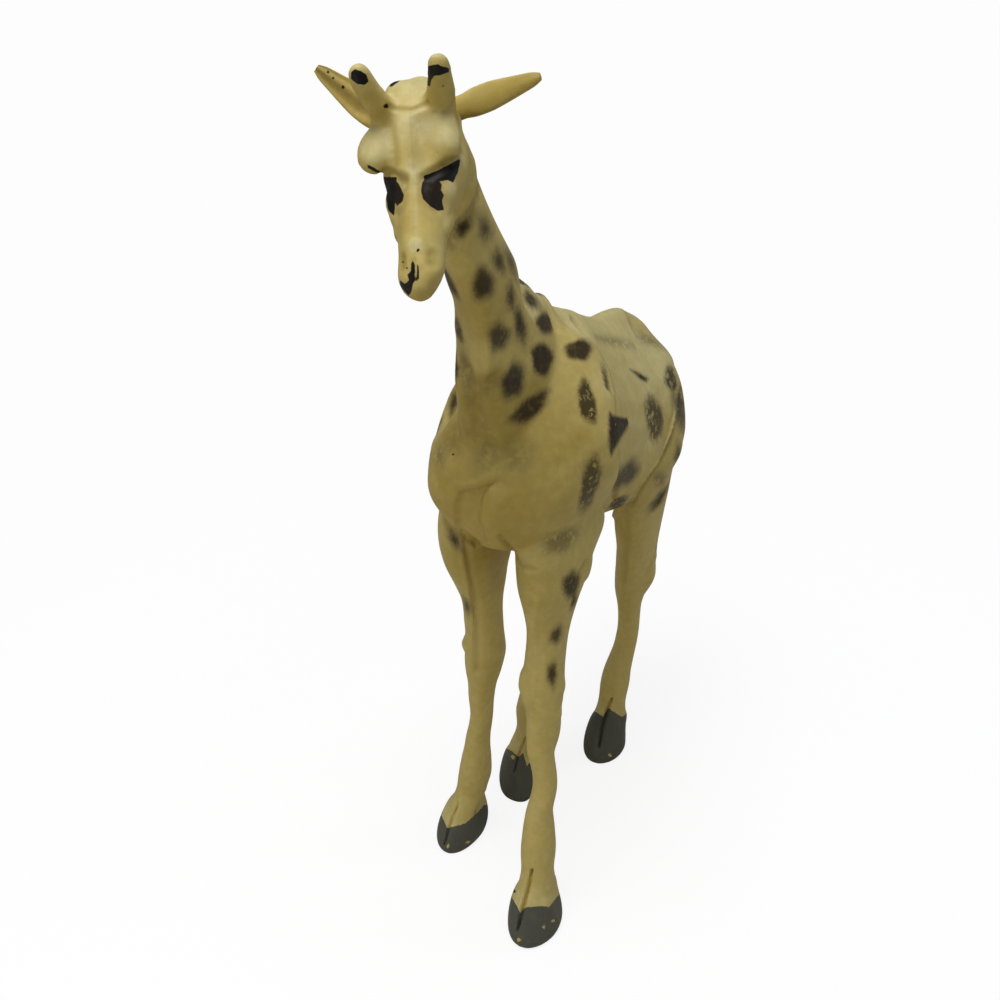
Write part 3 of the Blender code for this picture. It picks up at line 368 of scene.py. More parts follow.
# Carving. Each stroke: what it is, how far it reaches to either side, how proud (+) or deep (-)
# it is, whether the animal's other side has it too, and the pixels that it runs through
STROKES = (
    ("eye hollow", 5 * MM, -1 * MM, True, ((432, 186), (436, 198))),
    ("ball of the eye", 2.4 * MM, 0.5 * MM, True, ((432, 190), (435, 199))),
    ("back of the left brow", 2.2 * MM, -0.8 * MM, False, ((467, 116), (468, 128), (471, 141), (474, 150))),
    ("undercut of the brow", 1.8 * MM, -0.8 * MM, True, ((461, 152), (458, 159), (446, 167), (424, 177))),
    ("nose ridge", 4.2 * MM, 0.5 * MM, False, ((402, 125), (405, 170), (408, 215), (411, 240))),
    ("left of the nose ridge", 3.4 * MM, -0.6 * MM, False, ((421, 122), (419, 137), (418, 152), (417, 166))),
    (
        "right of the nose ridge", 3.4 * MM, -0.45 * MM, False,
        ((387, 120), (388, 136), (391, 152), (394, 164)),
    ),
    ("line between the horns", 1.1 * MM, -0.4 * MM, False, ((388, 107), (399, 110), (411, 111), (427, 104))),
    ("edge of the jaw", 2.6 * MM, 0.6 * MM, True, ((474, 186), (468, 202), (456, 217), (447, 229))),
    ("crease behind the jaw", 3.2 * MM, -0.9 * MM, True, ((480, 192), (472, 212), (458, 229), (450, 244))),
    ("chipped cheek", 3.4 * MM, 0.4 * MM, True, ((452, 192),)),
    ("nostril", 2.2 * MM, -0.5 * MM, True, ((433, 256), (434, 262))),
    ("lip", 2.4 * MM, 0.3 * MM, True, ((430, 276), (424, 288))),
    ("line of the mouth", 1.2 * MM, -0.3 * MM, False, ((413, 262), (411, 278), (409, 293))),
    (
        "crease of neck and shoulder", 5 * MM, -1.6 * MM, True,
        ((464, 372), (468, 392), (476, 418), (486, 446)),
    ),
    ("hollow over the breast", 7 * MM, -1 * MM, False, ((484, 450), (488, 460))),
    ("hollow of the shoulder", 8 * MM, -1 * MM, True, ((518, 458),)),
    ("breast", 6 * MM, 0.7 * MM, False, ((496, 503), (494, 520), (498, 540))),
    ("right shoulder", 9 * MM, 0.8 * MM, False, ((450, 435), (450, 465))),
    ("fold under the right shoulder", 1.6 * MM, -0.7 * MM, False, ((445, 520), (452, 532), (459, 546))),
    (
        "furrow behind the shoulder",
        2.2 * MM,
        -1 * MM,
        True,
        (
            (574, 320), (584, 333), (597, 353), (608, 373), (613, 396),
            (614, 430), (617, 458), (617, 478), (614, 500),
        ),
    ),
    (
        "rim of the barrel",
        1.5 * MM,
        0.8 * MM,
        True,
        ((677, 388), (674, 402), (665, 433), (652, 459), (635, 483), (624, 503), (612, 516)),
    ),
    (
        "furrow under that rim",
        2.2 * MM,
        -1.2 * MM,
        True,
        ((682, 390), (679, 404), (670, 436), (657, 463), (639, 488), (630, 505)),
    ),
    ("fold behind the thigh", 2 * MM, -0.9 * MM, True, ((669, 483), (662, 497), (654, 509))),
    ("line down the thigh", 1.6 * MM, -0.5 * MM, False, ((626, 508), (627, 540), (624, 580))),
    (
        "ridge of the right foreleg", 1.5 * MM, 0.6 * MM, False,
        ((460, 541), (463, 561), (469, 590), (473, 623), (473, 669)),
    ),
    (
        "furrow by that ridge", 1.7 * MM, -0.45 * MM, False,
        ((465, 543), (468, 561), (474, 590), (477, 623), (477, 669)),
    ),
    ("left armpit seam", 1.3 * MM, -0.9 * MM, False, ((501, 535), (512, 550), (521, 566))),
    ("top of the left leg shell", 1.3 * MM, -0.5 * MM, False, ((521, 567), (534, 570))),
    (
        "ridge of the left foreleg", 1.5 * MM, 0.45 * MM, False,
        ((537, 600), (534, 636), (534, 665), (532, 700)),
    ),
    ("bulge behind the left elbow", 4 * MM, 0.8 * MM, False, ((589, 560), (588, 574))),
    (
        "flap behind the left foreleg", 1.4 * MM, -0.6 * MM, False,
        ((586, 561), (580, 572), (575, 593), (571, 608)),
    ),
    ("outside of the right knee", 4 * MM, 1.2 * MM, False, ((465, 644),)),
    ("under the right knee", 3 * MM, 0.5 * MM, False, ((468, 668),)),
    ("inside of the left knee", 4 * MM, 0.8 * MM, False, ((522, 676), (521, 684))),
    ("outside of the left knee", 4 * MM, 0.6 * MM, False, ((563, 687),)),
    ("under the left knee", 4 * MM, 0.9 * MM, False, ((558, 716),)),
    ("point of the left hock", 4 * MM, 0.8 * MM, False, ((654, 558), (650, 578))),
    ("lip of the left forehoof", 1 * MM, 0.4 * MM, False, ((526, 878), (522, 895), (517, 915))),
    (
        "lip of the hollow under the breast bone", 1.5 * MM, 0.4 * MM, False,
        ((459, 486), (470, 485), (482, 482), (498, 476)),
    ),
)

# Sunk fields of the chest. Each: what it is, how deep, how soft its edge and its outline
HOLLOWS = (
    (
        "hollow under the breast bone",
        1.3 * MM,
        1.1 * MM,
        (
            (459, 489), (470, 488), (482, 485), (499, 479), (490, 489), (484, 499), (481, 519), (489, 541),
            (476, 548), (463, 541), (455, 528), (453, 505),
        ),
    ),
)

# Slits up the front of the hooves: pixels from the top down, how wide at the middle, how deep
SLITS = {
    "hindleg_left": (((612, 699), (608, 708), (604, 719), (601, 733), (599, 747)), 1.8 * MM, 2 * MM),
    "hindleg_right": (((527, 733), (521, 748), (517, 760), (514, 772)), 1 * MM, 1.2 * MM),
    "foreleg_right": (((458, 804), (452, 817), (448, 830), (445, 842), (442, 850)), 1 * MM, 1.4 * MM),
    "foreleg_left": (((532, 870), (529, 884), (525, 900), (521, 916), (517, 931)), 1.5 * MM, 2 * MM),
}

# Steps, proud on one side only. Each: what it is, the way to its proud side, how far it fades
# there, how wide the drop is, its rise, and the pixels that its edge runs through
STEPS = (
    (
        "rear edge of the shoulder",
        Vector((0, -1, 0)),
        16 * MM,
        2 * MM,
        2.4 * MM,
        (
            (570, 322), (580, 335), (593, 355), (603, 374), (608, 396),
            (609, 430), (612, 458), (612, 477), (609, 500),
        ),
    ),
    (
        "edge of the barrel over the thigh",
        Vector((0, -0.8, 0.6)),
        12 * MM,
        1.8 * MM,
        1.8 * MM,
        ((677, 388), (674, 402), (665, 433), (652, 459), (635, 483), (624, 503), (612, 516)),
    ),
)

# Sprayed spots, upright ovals before they lean. Each: middle, half width and half height in
# pixels, lean to the right in degrees, softness, coldness of the brown, wear, and whether the
# other side has one like it
SPOTS = (
    ((463, 228), (6, 9), 20, 0.7, 0.0, 0.1, True),
    ((485, 229), (5, 11), -10, 0.9, 0.5, 0.3, True),
    ((499, 261), (5, 11), -8, 0.8, 0.1, 0.2, True),
    ((511, 262), (4, 12), -14, 0.9, 0.9, 0.3, False),
    ((483, 284), (11, 14), 0, 0.9, 0.0, 0.1, True),
    ((511, 297), (4, 12), -8, 0.7, 0.2, 0.2, True),
    ((499, 337), (9, 14), 12, 0.8, 0.5, 0.3, True),
    ((520, 325), (5, 17), -6, 0.6, 0.1, 0.1, True),
    ((545, 323), (9, 10), 0, 0.6, 0.1, 0.1, True),
    ((542, 359), (11, 15), -10, 0.4, 0.0, 0.1, True),
    ((513, 381), (10, 18), 8, 0.7, 0.8, 0.1, True),
    ((579, 350), (12, 11), -12, 0.5, 0.0, 0.1, True),
    ((530, 408), (9, 22), 55, 0.6, 0.0, 0.2, True),
    ((587, 402), (9, 20), -10, 0.3, 0.0, 0.7, True),
    ((606, 381), (2, 11), -14, 0.3, 0.1, 0.1, False),
    ((654, 418), (8, 23), -12, 0.4, 0.1, 0.9, True),
    ((671, 379), (5, 14), -10, 0.3, 0.2, 0.8, True),
    ((680, 408), (6, 20), -4, 0.9, 1.0, 0.4, False),
    ((650, 341), (12, 3), 24, 1.0, 1.0, 1.0, True),
    ((612, 341), (22, 3), 14, 1.0, 0.6, 1.2, True),
    ((454, 402), (4, 14), 10, 0.6, 0.2, 0.1, False),
    ((464, 362), (3, 18), -6, 1.0, 1.0, 1.0, False),
    ((439, 456), (5, 9), 0, 1.0, 0.3, 1.4, False),
    ((590, 483), (9, 25), 14, 0.5, 0.2, 0.8, True),
    ((561, 541), (10, 17), 52, 1.0, 0.2, 1.2, False),
    ((571, 585), (7, 14), 4, 0.6, 0.1, 0.2, False),
    ((574, 601), (2, 6), 20, 0.4, 0.1, 0.2, False),
    ((556, 635), (5, 8), 30, 0.7, 0.0, 0.3, False),
    ((552, 674), (5, 10), 0, 0.7, 0.0, 0.2, False),
    ((627, 474), (8, 15), 30, 0.9, 0.7, 0.2, True),
    ((618, 503), (5, 11), 50, 0.4, 0.3, 0.6, False),
    ((660, 479), (6, 7), 20, 1.0, 0.3, 1.2, False),
    ((658, 500), (4, 12), 40, 0.7, 0.6, 0.3, False),
    ((678, 456), (3, 9), 0, 0.8, 0.8, 0.2, False),
    ((455, 540), (4, 9), -30, 0.9, 0.9, 0.2, False),
    ((467, 606), (2, 7), -14, 0.6, 0.3, 0.1, False),
    ((531, 300), (5, 11), -30, 0.5, 0.6, 0.1, False),
)
TRIANGLE_SPOT = (
    (609, 412), (614, 416), (624, 418), (632, 418), (625, 431), (615, 448), (611, 457), (609, 441),
)
POINTED_SPOT = ((630, 369), (641, 374), (648, 379), (646, 382), (640, 379))

# Spots of the far legs, which the photograph doesn't show: leg, height, place round the leg in
# degrees from straight out, half width and half height, softness and coldness
FAR_SPOTS = (
    ("foreleg_right", 128 * MM, 25, 5 * MM, 4 * MM, 0.9, 0.3),
    ("foreleg_right", 112 * MM, -10, 2.4 * MM, 4.6 * MM, 0.7, 0.2),
    ("foreleg_right", 96 * MM, 20, 2 * MM, 2.4 * MM, 0.7, 0.1),
    ("hindleg_right", 136 * MM, -15, 4.4 * MM, 6 * MM, 0.8, 0.4),
    ("hindleg_right", 116 * MM, 20, 3 * MM, 4 * MM, 0.8, 0.6),
    ("hindleg_right", 98 * MM, 0, 2 * MM, 3 * MM, 0.8, 0.2),
    ("hindleg_left", 98 * MM, 30, 2 * MM, 3 * MM, 0.8, 0.3),
)

# Brushed dark paint of the face, horns and ears, as outlines in pixels
BLACK_MARKS = {
    "line of the left eye": (
        (423, 176), (436, 171), (448, 165), (461, 158), (458, 172), (453, 183), (448, 180), (441, 181),
        (436, 182), (432, 180), (425, 181),
    ),
    "right eye": (
        (380, 177), (397, 177), (395, 195), (395, 208), (394, 216), (388, 210), (385, 192), (383, 183),
    ),
    "line of the right brow": ((367, 164), (371, 166), (380, 171), (380, 174), (373, 171), (368, 168)),
    "left horn band": (
        (426, 67), (432, 65), (438, 64), (441, 66), (449, 68), (449, 72), (441, 75), (434, 76), (431, 81),
        (430, 87), (426, 84),
    ),
    "right horn band": (
        (351, 79), (351, 72), (355, 69), (361, 71), (366, 74), (369, 81), (365, 85), (357, 84),
    ),
    "crown patch": ((389, 86), (393, 81), (402, 75), (403, 78), (397, 83), (391, 87)),
    "mark of the mouth": (
        (400, 280), (405, 284), (409, 280), (407, 274), (411, 272), (411, 263), (413, 260), (415, 265),
        (415, 276), (416, 280), (413, 283), (412, 290), (409, 296), (404, 291), (400, 286),
    ),
    "second mark": ((417, 264), (419, 266), (419, 279), (416, 282), (417, 272)),
}
BROWN_MARKS = {
    "left eye": (
        (438, 179), (442, 185), (441, 190), (444, 195), (442, 201), (444, 210), (438, 211), (430, 206),
        (423, 199), (421, 192), (422, 183), (425, 178),
    ),
    "inner corner of the right eye": ((395, 178), (400, 186), (404, 195), (403, 201), (397, 206), (394, 200)),
}
# Specks: middle and size in pixels, and how far from one an ear's paint still notices it
SPECK_REACH = 12
SPECKS = (
    ((443, 86), 1.2),
    ((386, 106), 2.2),
    ((328, 72), 1.4),
    ((333, 78), 1.2),
    ((343, 87), 1.8),
    ((418, 250), 1.6),
    ((403, 262), 1.2),
    ((407, 268), 1.0),
    ((453, 454), 1.3),
    ((514, 891), 1.6),
)
# Places where the hoof paint has chipped off: middle and size in pixels
SCRAPES = (
    ((544, 927), 1.4),
    ((553, 921), 1.1),
    ((519, 940), 1.5),
    ((513, 757), 1.6),
    ((448, 846), 1.4),
    ((468, 842), 1.3),
    ((610, 755), 1.2),
)

# Upper edge of each hoof's paint across the photograph, and its height where it isn't seen
HOOF_EDGES = {
    "foreleg_left": ((508, 894), (512, 897), (521, 914), (524, 908), (538, 906), (549, 907), (560, 893)),
    "foreleg_right": ((434, 812), (442, 816), (447, 828), (452, 827), (466, 823), (478, 812), (484, 805)),
    "hindleg_left": ((590, 710), (596, 712), (603, 717), (608, 708), (622, 717), (634, 708)),
    "hindleg_right": ((506, 748), (513, 752), (519, 757), (523, 753), (527, 766), (534, 757), (542, 752)),
}
HOOF_PAINT_HEIGHT = 15 * MM

# Painted shade and light, with some ageing of the plastic: places drawn darker and yellower (+) or lighter
# (-): pixel, reach, amount
PAINTED_SHADE_AND_AGEING = (
    ((560, 440), 30 * MM, 0.8),
    ((500, 520), 26 * MM, 0.6),
    ((640, 430), 24 * MM, -0.4),
    ((652, 365), 24 * MM, -0.6),
    ((640, 560), 22 * MM, -0.3),
    ((570, 345), 16 * MM, 0.6),
    ((548, 420), 22 * MM, 0.5),
    ((412, 215), 9 * MM, 0.4),
    ((455, 300), 16 * MM, 0.5),
    ((468, 430), 26 * MM, 0.9),
    ((505, 470), 18 * MM, 0.5),
    ((470, 560), 16 * MM, 0.6),
    ((430, 259), 4 * MM, 0.9),
    ((424, 230), 7 * MM, 0.3),
    ((442, 137), 6 * MM, -0.8),
    ((424, 152), 4 * MM, 0.7),
    ((444, 162), 4 * MM, 0.9),
    ((389, 146), 4 * MM, 0.6),
    ((403, 122), 4 * MM, -0.3),
    ((371, 152), 6 * MM, -0.3),
    ((452, 193), 3.6 * MM, -0.7),
    ((416, 245), 2.4 * MM, -0.7),
    ((565, 300), 12 * MM, -0.4),
    ((530, 690), 16 * MM, 0.3),
)

ACROSS = Vector((1, 0, 0))
ALONG = Vector((0, 1, 0))
UP = Vector((0, 0, 1))
MIRROR = np.array((-1.0, 1.0, 1.0))
NECK_AXIS = Vector((0, -math.sin(NECK_LEAN), math.cos(NECK_LEAN)))
NECK_CREST = Vector((0, math.cos(NECK_LEAN), math.sin(NECK_LEAN)))
NECK_ROOT = Vector(
    (
        0,
        TRUNK_FRONT + TRUNK_LENGTH * NECK_ROOT_SHARES[0],
        BRISKET_HEIGHT + TRUNK_DEPTH * NECK_ROOT_SHARES[1],
    )
)
POLL = NECK_ROOT + NECK_AXIS * NECK_LENGTH
FACE_AXIS = Vector((0, -math.cos(HEAD_PITCH), -math.sin(HEAD_PITCH)))
FACE_UP = Vector((0, -math.sin(HEAD_PITCH), math.cos(HEAD_PITCH)))

# What the operators hand on to each other: the uncut skin and the shells cut from it
made_before = {}


# Settings


def colour(name, description, default):
    """Colour setting of a paint or a plastic."""
    return FloatVectorProperty(
        name=name, description=description, default=default, size=3, min=0, max=1, subtype="COLOR"
    )


class GiraffeShellSettings(PropertyGroup):
    """Sizes of the moulded shells' modelling."""

    grain: FloatProperty(
        name="Skin grain",
        description="Size of the skin's facets on the trunk; the head and hooves have half of it",
        default=0.85 * MM,
        min=0.5 * MM,
        max=3 * MM,
        precision=5,
        unit="LENGTH",
    )
    softenings: IntProperty(
        name="Softenings", description="Rounds of smoothing of the skin", default=5, min=0, max=20
    )
    seam_gap: FloatProperty(
        name="Seam",
        description="Width of the glued seam between two shells",
        default=0.02 * MM,
        min=0.01 * MM,
        max=0.3 * MM,
        precision=5,
        unit="LENGTH",
    )
    carving: FloatProperty(
        name="Carving",
        description="Depth of all folds and ridges, 1 as in the photograph",
        default=1,
        min=0,
        max=2,
        subtype="FACTOR",
    )


class GiraffeFinishSettings(PropertyGroup):
    """Colours of the plastic and its paints."""

    ivory: colour("Ivory", "Plastic as it left the mould", (0.58, 0.455, 0.145))
    # The lighter and the darker colours below are painted light and shade on faces turned up and down, with
    # some real bleaching and ageing
    bleached_and_lit: colour("Bleached and lit", "Plastic lighter from bleaching and painted light, on faces turned up", (0.64, 0.55, 0.25))
    deep: colour("Yellowed and shaded", "Plastic darker and yellower as painted shade and ageing, on faces turned down", (0.43, 0.315, 0.07))
    # This colour darkens the folds as painted shade and dust, and colours dark specks and worn ink
    grime_and_shade: colour("Grime and shade", "Dust and painted shade in the folds", (0.15, 0.10, 0.035))
    spot_warm: colour("Warm spot", "Sprayed brown", (0.014, 0.004, 0.001))
    spot_cold: colour("Cold spot", "Sprayed brown that has turned grey", (0.022, 0.018, 0.019))
    spot_rim: colour("Spot rim", "Thin spray at the rim of a spot", (0.085, 0.062, 0.052))
    eye: colour("Eye", "Brown of the eyes", (0.014, 0.008, 0.004))
    black: colour("Black", "Black of the horns and eye lines", (0.005, 0.004, 0.003))
    hoof: colour("Hoof", "Grey of the hooves", (0.095, 0.095, 0.074))
    hoof_worn: colour("Worn hoof", "Hoof paint where it is thin", (0.13, 0.13, 0.075))
    roughness: FloatProperty(
        name="Roughness",
        description="Roughness of clean plastic",
        default=0.5,
        min=0,
        max=1,
        subtype="FACTOR",
    )


class GiraffeStageSettings(PropertyGroup):
    """Camera, lamps and table."""

    camera_distance: FloatProperty(
        name="Camera distance", description="From the lens to the figure", default=371 * MM, unit="LENGTH"
    )
    camera_turn: FloatProperty(
        name="Turn",
        description="Angle of the camera round the figure",
        default=math.radians(27),
        subtype="ANGLE",
    )
    camera_rise: FloatProperty(
        name="Rise",
        description="Angle of the camera above the table",
        default=math.radians(29.5),
        subtype="ANGLE",
    )
    camera_roll: FloatProperty(
        name="Roll",
        description="Tilt of the camera to one side",
        default=math.radians(1.2),
        subtype="ANGLE",
    )
    camera_aim: FloatVectorProperty(
        name="Aim",
        description="Point in the middle of the picture",
        default=(-15.4 * MM, -3.5 * MM, 143.7 * MM),
        subtype="TRANSLATION",
    )
    sky: FloatProperty(name="Sky", description="Strength of the even light", default=0.20, min=0)
    top_lamp: FloatProperty(name="Top lamp", description="Power of the key lamp", default=2.6, min=0)
    front_lamp: FloatProperty(name="Front lamp", description="Power of the fill lamp", default=0.66, min=0)
    rear_lamp: FloatProperty(name="Rear lamp", description="Power of the lamp behind", default=0.4, min=0)
    rear_tone: colour("Rear tone", "Colour of the lamp behind", (0.78, 0.88, 1.0))
    table: colour("Table", "Colour of the table in the picture", (0.982, 0.982, 0.982))
    bounce: colour("Bounce", "Colour that the table throws back", (0.80, 0.77, 0.68))


# Forms


def smooth_rows(rows, steps=ROW_STEPS):
    """Runs a smooth curve through rows of numbers and returns it with more rows."""
    result = []
    last = len(rows) - 1
    for index in range(last):
        before = rows[max(index - 1, 0)]
        start = rows[index]
        end = rows[index + 1]
        after = rows[min(index + 2, last)]
        for step in range(steps):
            t = step / steps
            row = []
            for a, b, c, d in zip(before, start, end, after):
                bend = (2 * a - 5 * b + 4 * c - d) * t * t + (3 * b - a - 3 * c + d) * t * t * t
                row.append(b + ((c - a) * t + bend) / 2)
            result.append(row)
    result.append(list(rows[last]))
    return result


def ease(t):
    """Smooth step from 0 to 1, for one number or many."""
    t = np.clip(t, 0, 1)
    return t * t * (3 - 2 * t)


def add_ring(bm, centre, across, rise_way, half_width, rise, drop, ridge=0, sides=RING_SIDES):
    """Adds one closed ring, narrower towards its top by the ridge share, and returns its points."""
    verts = bmesh.ops.create_circle(bm, cap_ends=False, segments=sides, radius=1)["verts"]
    for vert in verts:
        side = vert.co.x
        lift = vert.co.y
        reach = rise if lift > 0 else drop
        width = half_width * (1 - ridge * max(lift, 0) ** 2)
        vert.co = centre + across * (width * side) + rise_way * (reach * lift)
    return verts


def bridge(bm, rings):
    """Skins a run of rings and closes both ends."""
    loops = [list({edge for vert in ring for edge in vert.link_edges}) for ring in rings]
    for first, second in zip(loops, loops[1:]):
        bmesh.ops.bridge_loops(bm, edges=first + second)
    bmesh.ops.edgeloop_fill(bm, edges=loops[0])
    bmesh.ops.edgeloop_fill(bm, edges=loops[-1])


def underside_over_brisket(bottom, sink):
    """Height of the trunk's underside over the brisket's, for one row of its shares."""
    return TRUNK_DEPTH * bottom + (BELLY_HEIGHT - BRISKET_HEIGHT) * sink


def add_trunk(bm):
    """Barrel of the body."""
    rings = []
    for along, top, bottom, sink, shoulder, haunch in smooth_rows(TRUNK_SHARES):
        half_width = (SHOULDER_WIDTH * shoulder + HAUNCH_WIDTH * haunch) / 2
        underside = underside_over_brisket(bottom, sink)
        drop = (TRUNK_DEPTH * top - underside) * TRUNK_WAIST_SHARE
        rise = (TRUNK_DEPTH * top - underside) * (1 - TRUNK_WAIST_SHARE)
        height = BRISKET_HEIGHT + underside + drop
        centre = Vector((0, TRUNK_FRONT + TRUNK_LENGTH * along, height))
        rings.append(add_ring(bm, centre, ACROSS, UP, half_width, rise, drop, TRUNK_RIDGE_SHARE))
    bridge(bm, rings)


def add_neck(bm):
    """Long neck, deep at the shoulders and slim at the poll."""
    rings = []
    for along, change, lead in smooth_rows(NECK_SHARES):
        half_width = (NECK_ROOT_WIDTH + (NECK_TOP_WIDTH - NECK_ROOT_WIDTH) * change) / 2
        half_depth = (NECK_ROOT_DEPTH + (NECK_TOP_DEPTH - NECK_ROOT_DEPTH) * change) / 2
        centre = NECK_ROOT + NECK_AXIS * (NECK_LENGTH * along) + NECK_CREST * (NECK_LENGTH * lead)
        rings.append(
            add_ring(bm, centre, ACROSS, NECK_CREST, half_width, half_depth, half_depth, NECK_RIDGE_SHARE)
        )
    bridge(bm, rings)


def in_head(across, ahead, lift):
    """Point in the head's own directions, measured from the poll."""
    return POLL + ACROSS * across + FACE_AXIS * ahead + FACE_UP * lift


def add_head(bm):
    """Skull and muzzle."""
    rings = []
    for along, top, bottom, width in smooth_rows(HEAD_SHARES):
        half_width = HEAD_WIDTH * width
        half_depth = HEAD_DEPTH * (top - bottom) / 2
        centre = in_head(0, HEAD_LENGTH * along, HEAD_DEPTH * (top + bottom) / 2)
        rings.append(
            add_ring(bm, centre, ACROSS, FACE_UP, half_width, half_depth, half_depth, HEAD_RIDGE_SHARE)
        )
    bridge(bm, rings)


def add_brows(bm):
    """Swellings over the eyes."""
    for side in (-1, 1):
        ahead = HEAD_LENGTH * BROW_PLACE_SHARE
        out = BROW_LEFT_PLACE if side > 0 else BROW_RIGHT_PLACE
        place = in_head(side * out, ahead, HEAD_DEPTH * BROW_LIFT_SHARE)
        turn = Matrix((ACROSS, FACE_AXIS, FACE_UP)).transposed().to_4x4()
        form = Matrix.Diagonal(Vector(BROW_FORM_SHARES) * BROW_SIZE / 2).to_4x4()
        pose = Matrix.Translation(place) @ turn @ form
        bmesh.ops.create_uvsphere(
            bm, u_segments=RING_SIDES, v_segments=SMALL_RING_SIDES, radius=1, matrix=pose
        )


def horn_line(side):
    """Root of a horn and the way it points."""
    lift = HEAD_DEPTH * HORN_LIFT_SHARE - HORN_WIDTH
    root = in_head(side * HORN_SPREAD / 2, HEAD_LENGTH * HORN_PLACE_SHARE, lift)
    aim = FACE_UP + ACROSS * (side * HORN_SPLAY_SHARE) + FACE_AXIS * HORN_TILT_SHARE
    return root, aim.normalized()


def add_horns(bm):
    """Two blunt horns, part of the head's moulding."""
    for side in (-1, 1):
        root, aim = horn_line(side)
        across = aim.cross(FACE_AXIS).normalized()
        onward = across.cross(aim)
        rings = []
        for along, width in smooth_rows(HORN_SHARES):
            reach = HORN_WIDTH * width / 2
            centre = root + aim * ((HORN_LENGTH + HORN_WIDTH) * along)
            rings.append(add_ring(bm, centre, across, onward, reach, reach, reach))
        bridge(bm, rings)


def leg_side(name):
    """+1 for the animal's left legs and -1 for its right ones."""
    return 1 if name.endswith("left") else -1


def leg_line(name):
    """Places of the middle of one leg at its joints, from the top down."""
    start = FORELEG_PLACE if name.startswith("fore") else HINDLEG_PLACE
    distances = STANCE[name][:1] + STANCE[name]
    line = []
    for joint, step, distance in zip(leg_joints(name), STEP_SHARES[name], distances):
        height = 0 if joint == "hoof" else JOINT_SIZES[joint][0]
        line.append(Vector((leg_side(name) * distance, start + STEP_LENGTH * step, height)))
    return line


def leg_middle(name, height):
    """Middle of a leg at one height."""
    line = leg_line(name)
    for upper, lower in zip(line, line[1:]):
        if height >= lower.z or lower is line[-1]:
            share = min(max((height - lower.z) / (upper.z - lower.z), 0), 1)
            middle = lower.lerp(upper, share)
            return Vector((middle.x, middle.y, height))
    return line[-1]


def leg_joints(name):
    """Names of a leg's joints from the top down."""
    return FORELEG_JOINTS if name.startswith("fore") else HINDLEG_JOINTS


def leg_reach(name):
    """Places along the animal just in front of a leg and just behind it."""
    depths = [JOINT_SIZES[joint][2] / 2 + LEG_SAW_ROOM for joint in leg_joints(name)]
    front = min(point.y - depth for point, depth in zip(leg_line(name), depths))
    back = max(point.y + depth for point, depth in zip(leg_line(name), depths))
    return front, back


def leg_shell_top(name):
    """Height of the top of a leg's inner shell, just below the trunk's lowest part over the leg."""
    front, back = leg_reach(name)
    lowest = max(BRISKET_HEIGHT, BELLY_HEIGHT)
    for along, _, bottom, sink, _, _ in smooth_rows(TRUNK_SHARES):
        if front < TRUNK_FRONT + TRUNK_LENGTH * along < back:
            lowest = min(lowest, BRISKET_HEIGHT + underside_over_brisket(bottom, sink))
    return lowest - LEG_SHELL_DROP


def leg_seam(name, height):
    """Place across the animal of a leg's seam at one height."""
    upper, lower = LEG_SEAMS[name]
    return leg_side(name) * (lower + (upper - lower) * height / leg_shell_top(name))


def add_leg(bm, name):
    """One leg from inside the trunk down through its hoof."""
    table = FORELEG_SHARES if name.startswith("fore") else HINDLEG_SHARES
    rows = []
    for joint, height, width, depth in table:
        joint_height, joint_width, joint_depth = JOINT_SIZES[joint]
        rows.append((joint_height * height, joint_width * width / 2, joint_depth * depth / 2))
    rings = []
    for height, half_width, half_depth in smooth_rows(rows):
        centre = leg_middle(name, height)
        rings.append(add_ring(bm, centre, ACROSS, ALONG, half_width, half_depth, half_depth))
    bridge(bm, rings)


def ear_directions(side):
    """Root of an ear, and the ways it points, spreads and faces."""
    aim = Vector(EAR_LEFT_AIM_SHARES if side > 0 else EAR_RIGHT_AIM_SHARES)
    aim = (ACROSS * aim.x + FACE_AXIS * aim.y + FACE_UP * aim.z).normalized()
    across, ahead, lift = EAR_FACING_SHARES
    face = ACROSS * across + FACE_AXIS * ahead + FACE_UP * lift
    face = (face - aim * face.dot(aim)).normalized()
    out, ahead, lift = EAR_ROOT_SHARES
    root = in_head(side * HEAD_WIDTH * out, HEAD_LENGTH * ahead, HEAD_DEPTH * lift)
    return root, aim, aim.cross(face).normalized(), face


def ear_width(side):
    """Width of an ear at its broadest."""
    return EAR_LEFT_WIDTH if side > 0 else EAR_RIGHT_WIDTH


def add_ear(bm, side):
    """One leaf-shaped ear with a hollow and its fold, and the ear's tang."""
    root, aim, spread, face = ear_directions(side)
    hollow = EAR_LEFT_HOLLOW_SHARES if side > 0 else EAR_RIGHT_HOLLOW_SHARES
    depth, fold_place, fold_height, fold_width = hollow
    rows = [(-EAR_TANG, EAR_SHARES[0][1])]
    rows += [(EAR_LENGTH * along, width) for along, width in smooth_rows(EAR_SHARES, EAR_ROW_STEPS)]
    rings = []
    for distance, width in rows:
        half_width = ear_width(side) * width / 2
        half_thickness = EAR_THICKNESS / 2 * min(1, width * EAR_TAPER_SHARE)
        centre = root + aim * distance
        ring = add_ring(
            bm, centre, spread, face, half_width, half_thickness, half_thickness, sides=SMALL_RING_SIDES
        )
        cup = depth * half_thickness * float(ease(distance / EAR_LENGTH / EAR_CUP_START_SHARE))
        for vert in ring:
            offset = vert.co - centre
            if offset.dot(face) > 0:
                place = offset.dot(spread) / half_width
                fold = fold_height * math.exp(-(((place - fold_place) / fold_width) ** 2))
                vert.co -= face * (cup * max(0, 1 - place**2) * (1 - fold))
        rings.append(ring)
    bridge(bm, rings)


def tail_root():
    """Place on the rump where the tail goes in."""
    return Vector((0, TRUNK_FRONT + TRUNK_LENGTH, BRISKET_HEIGHT + TRUNK_DEPTH * TAIL_ROOT_SHARE))


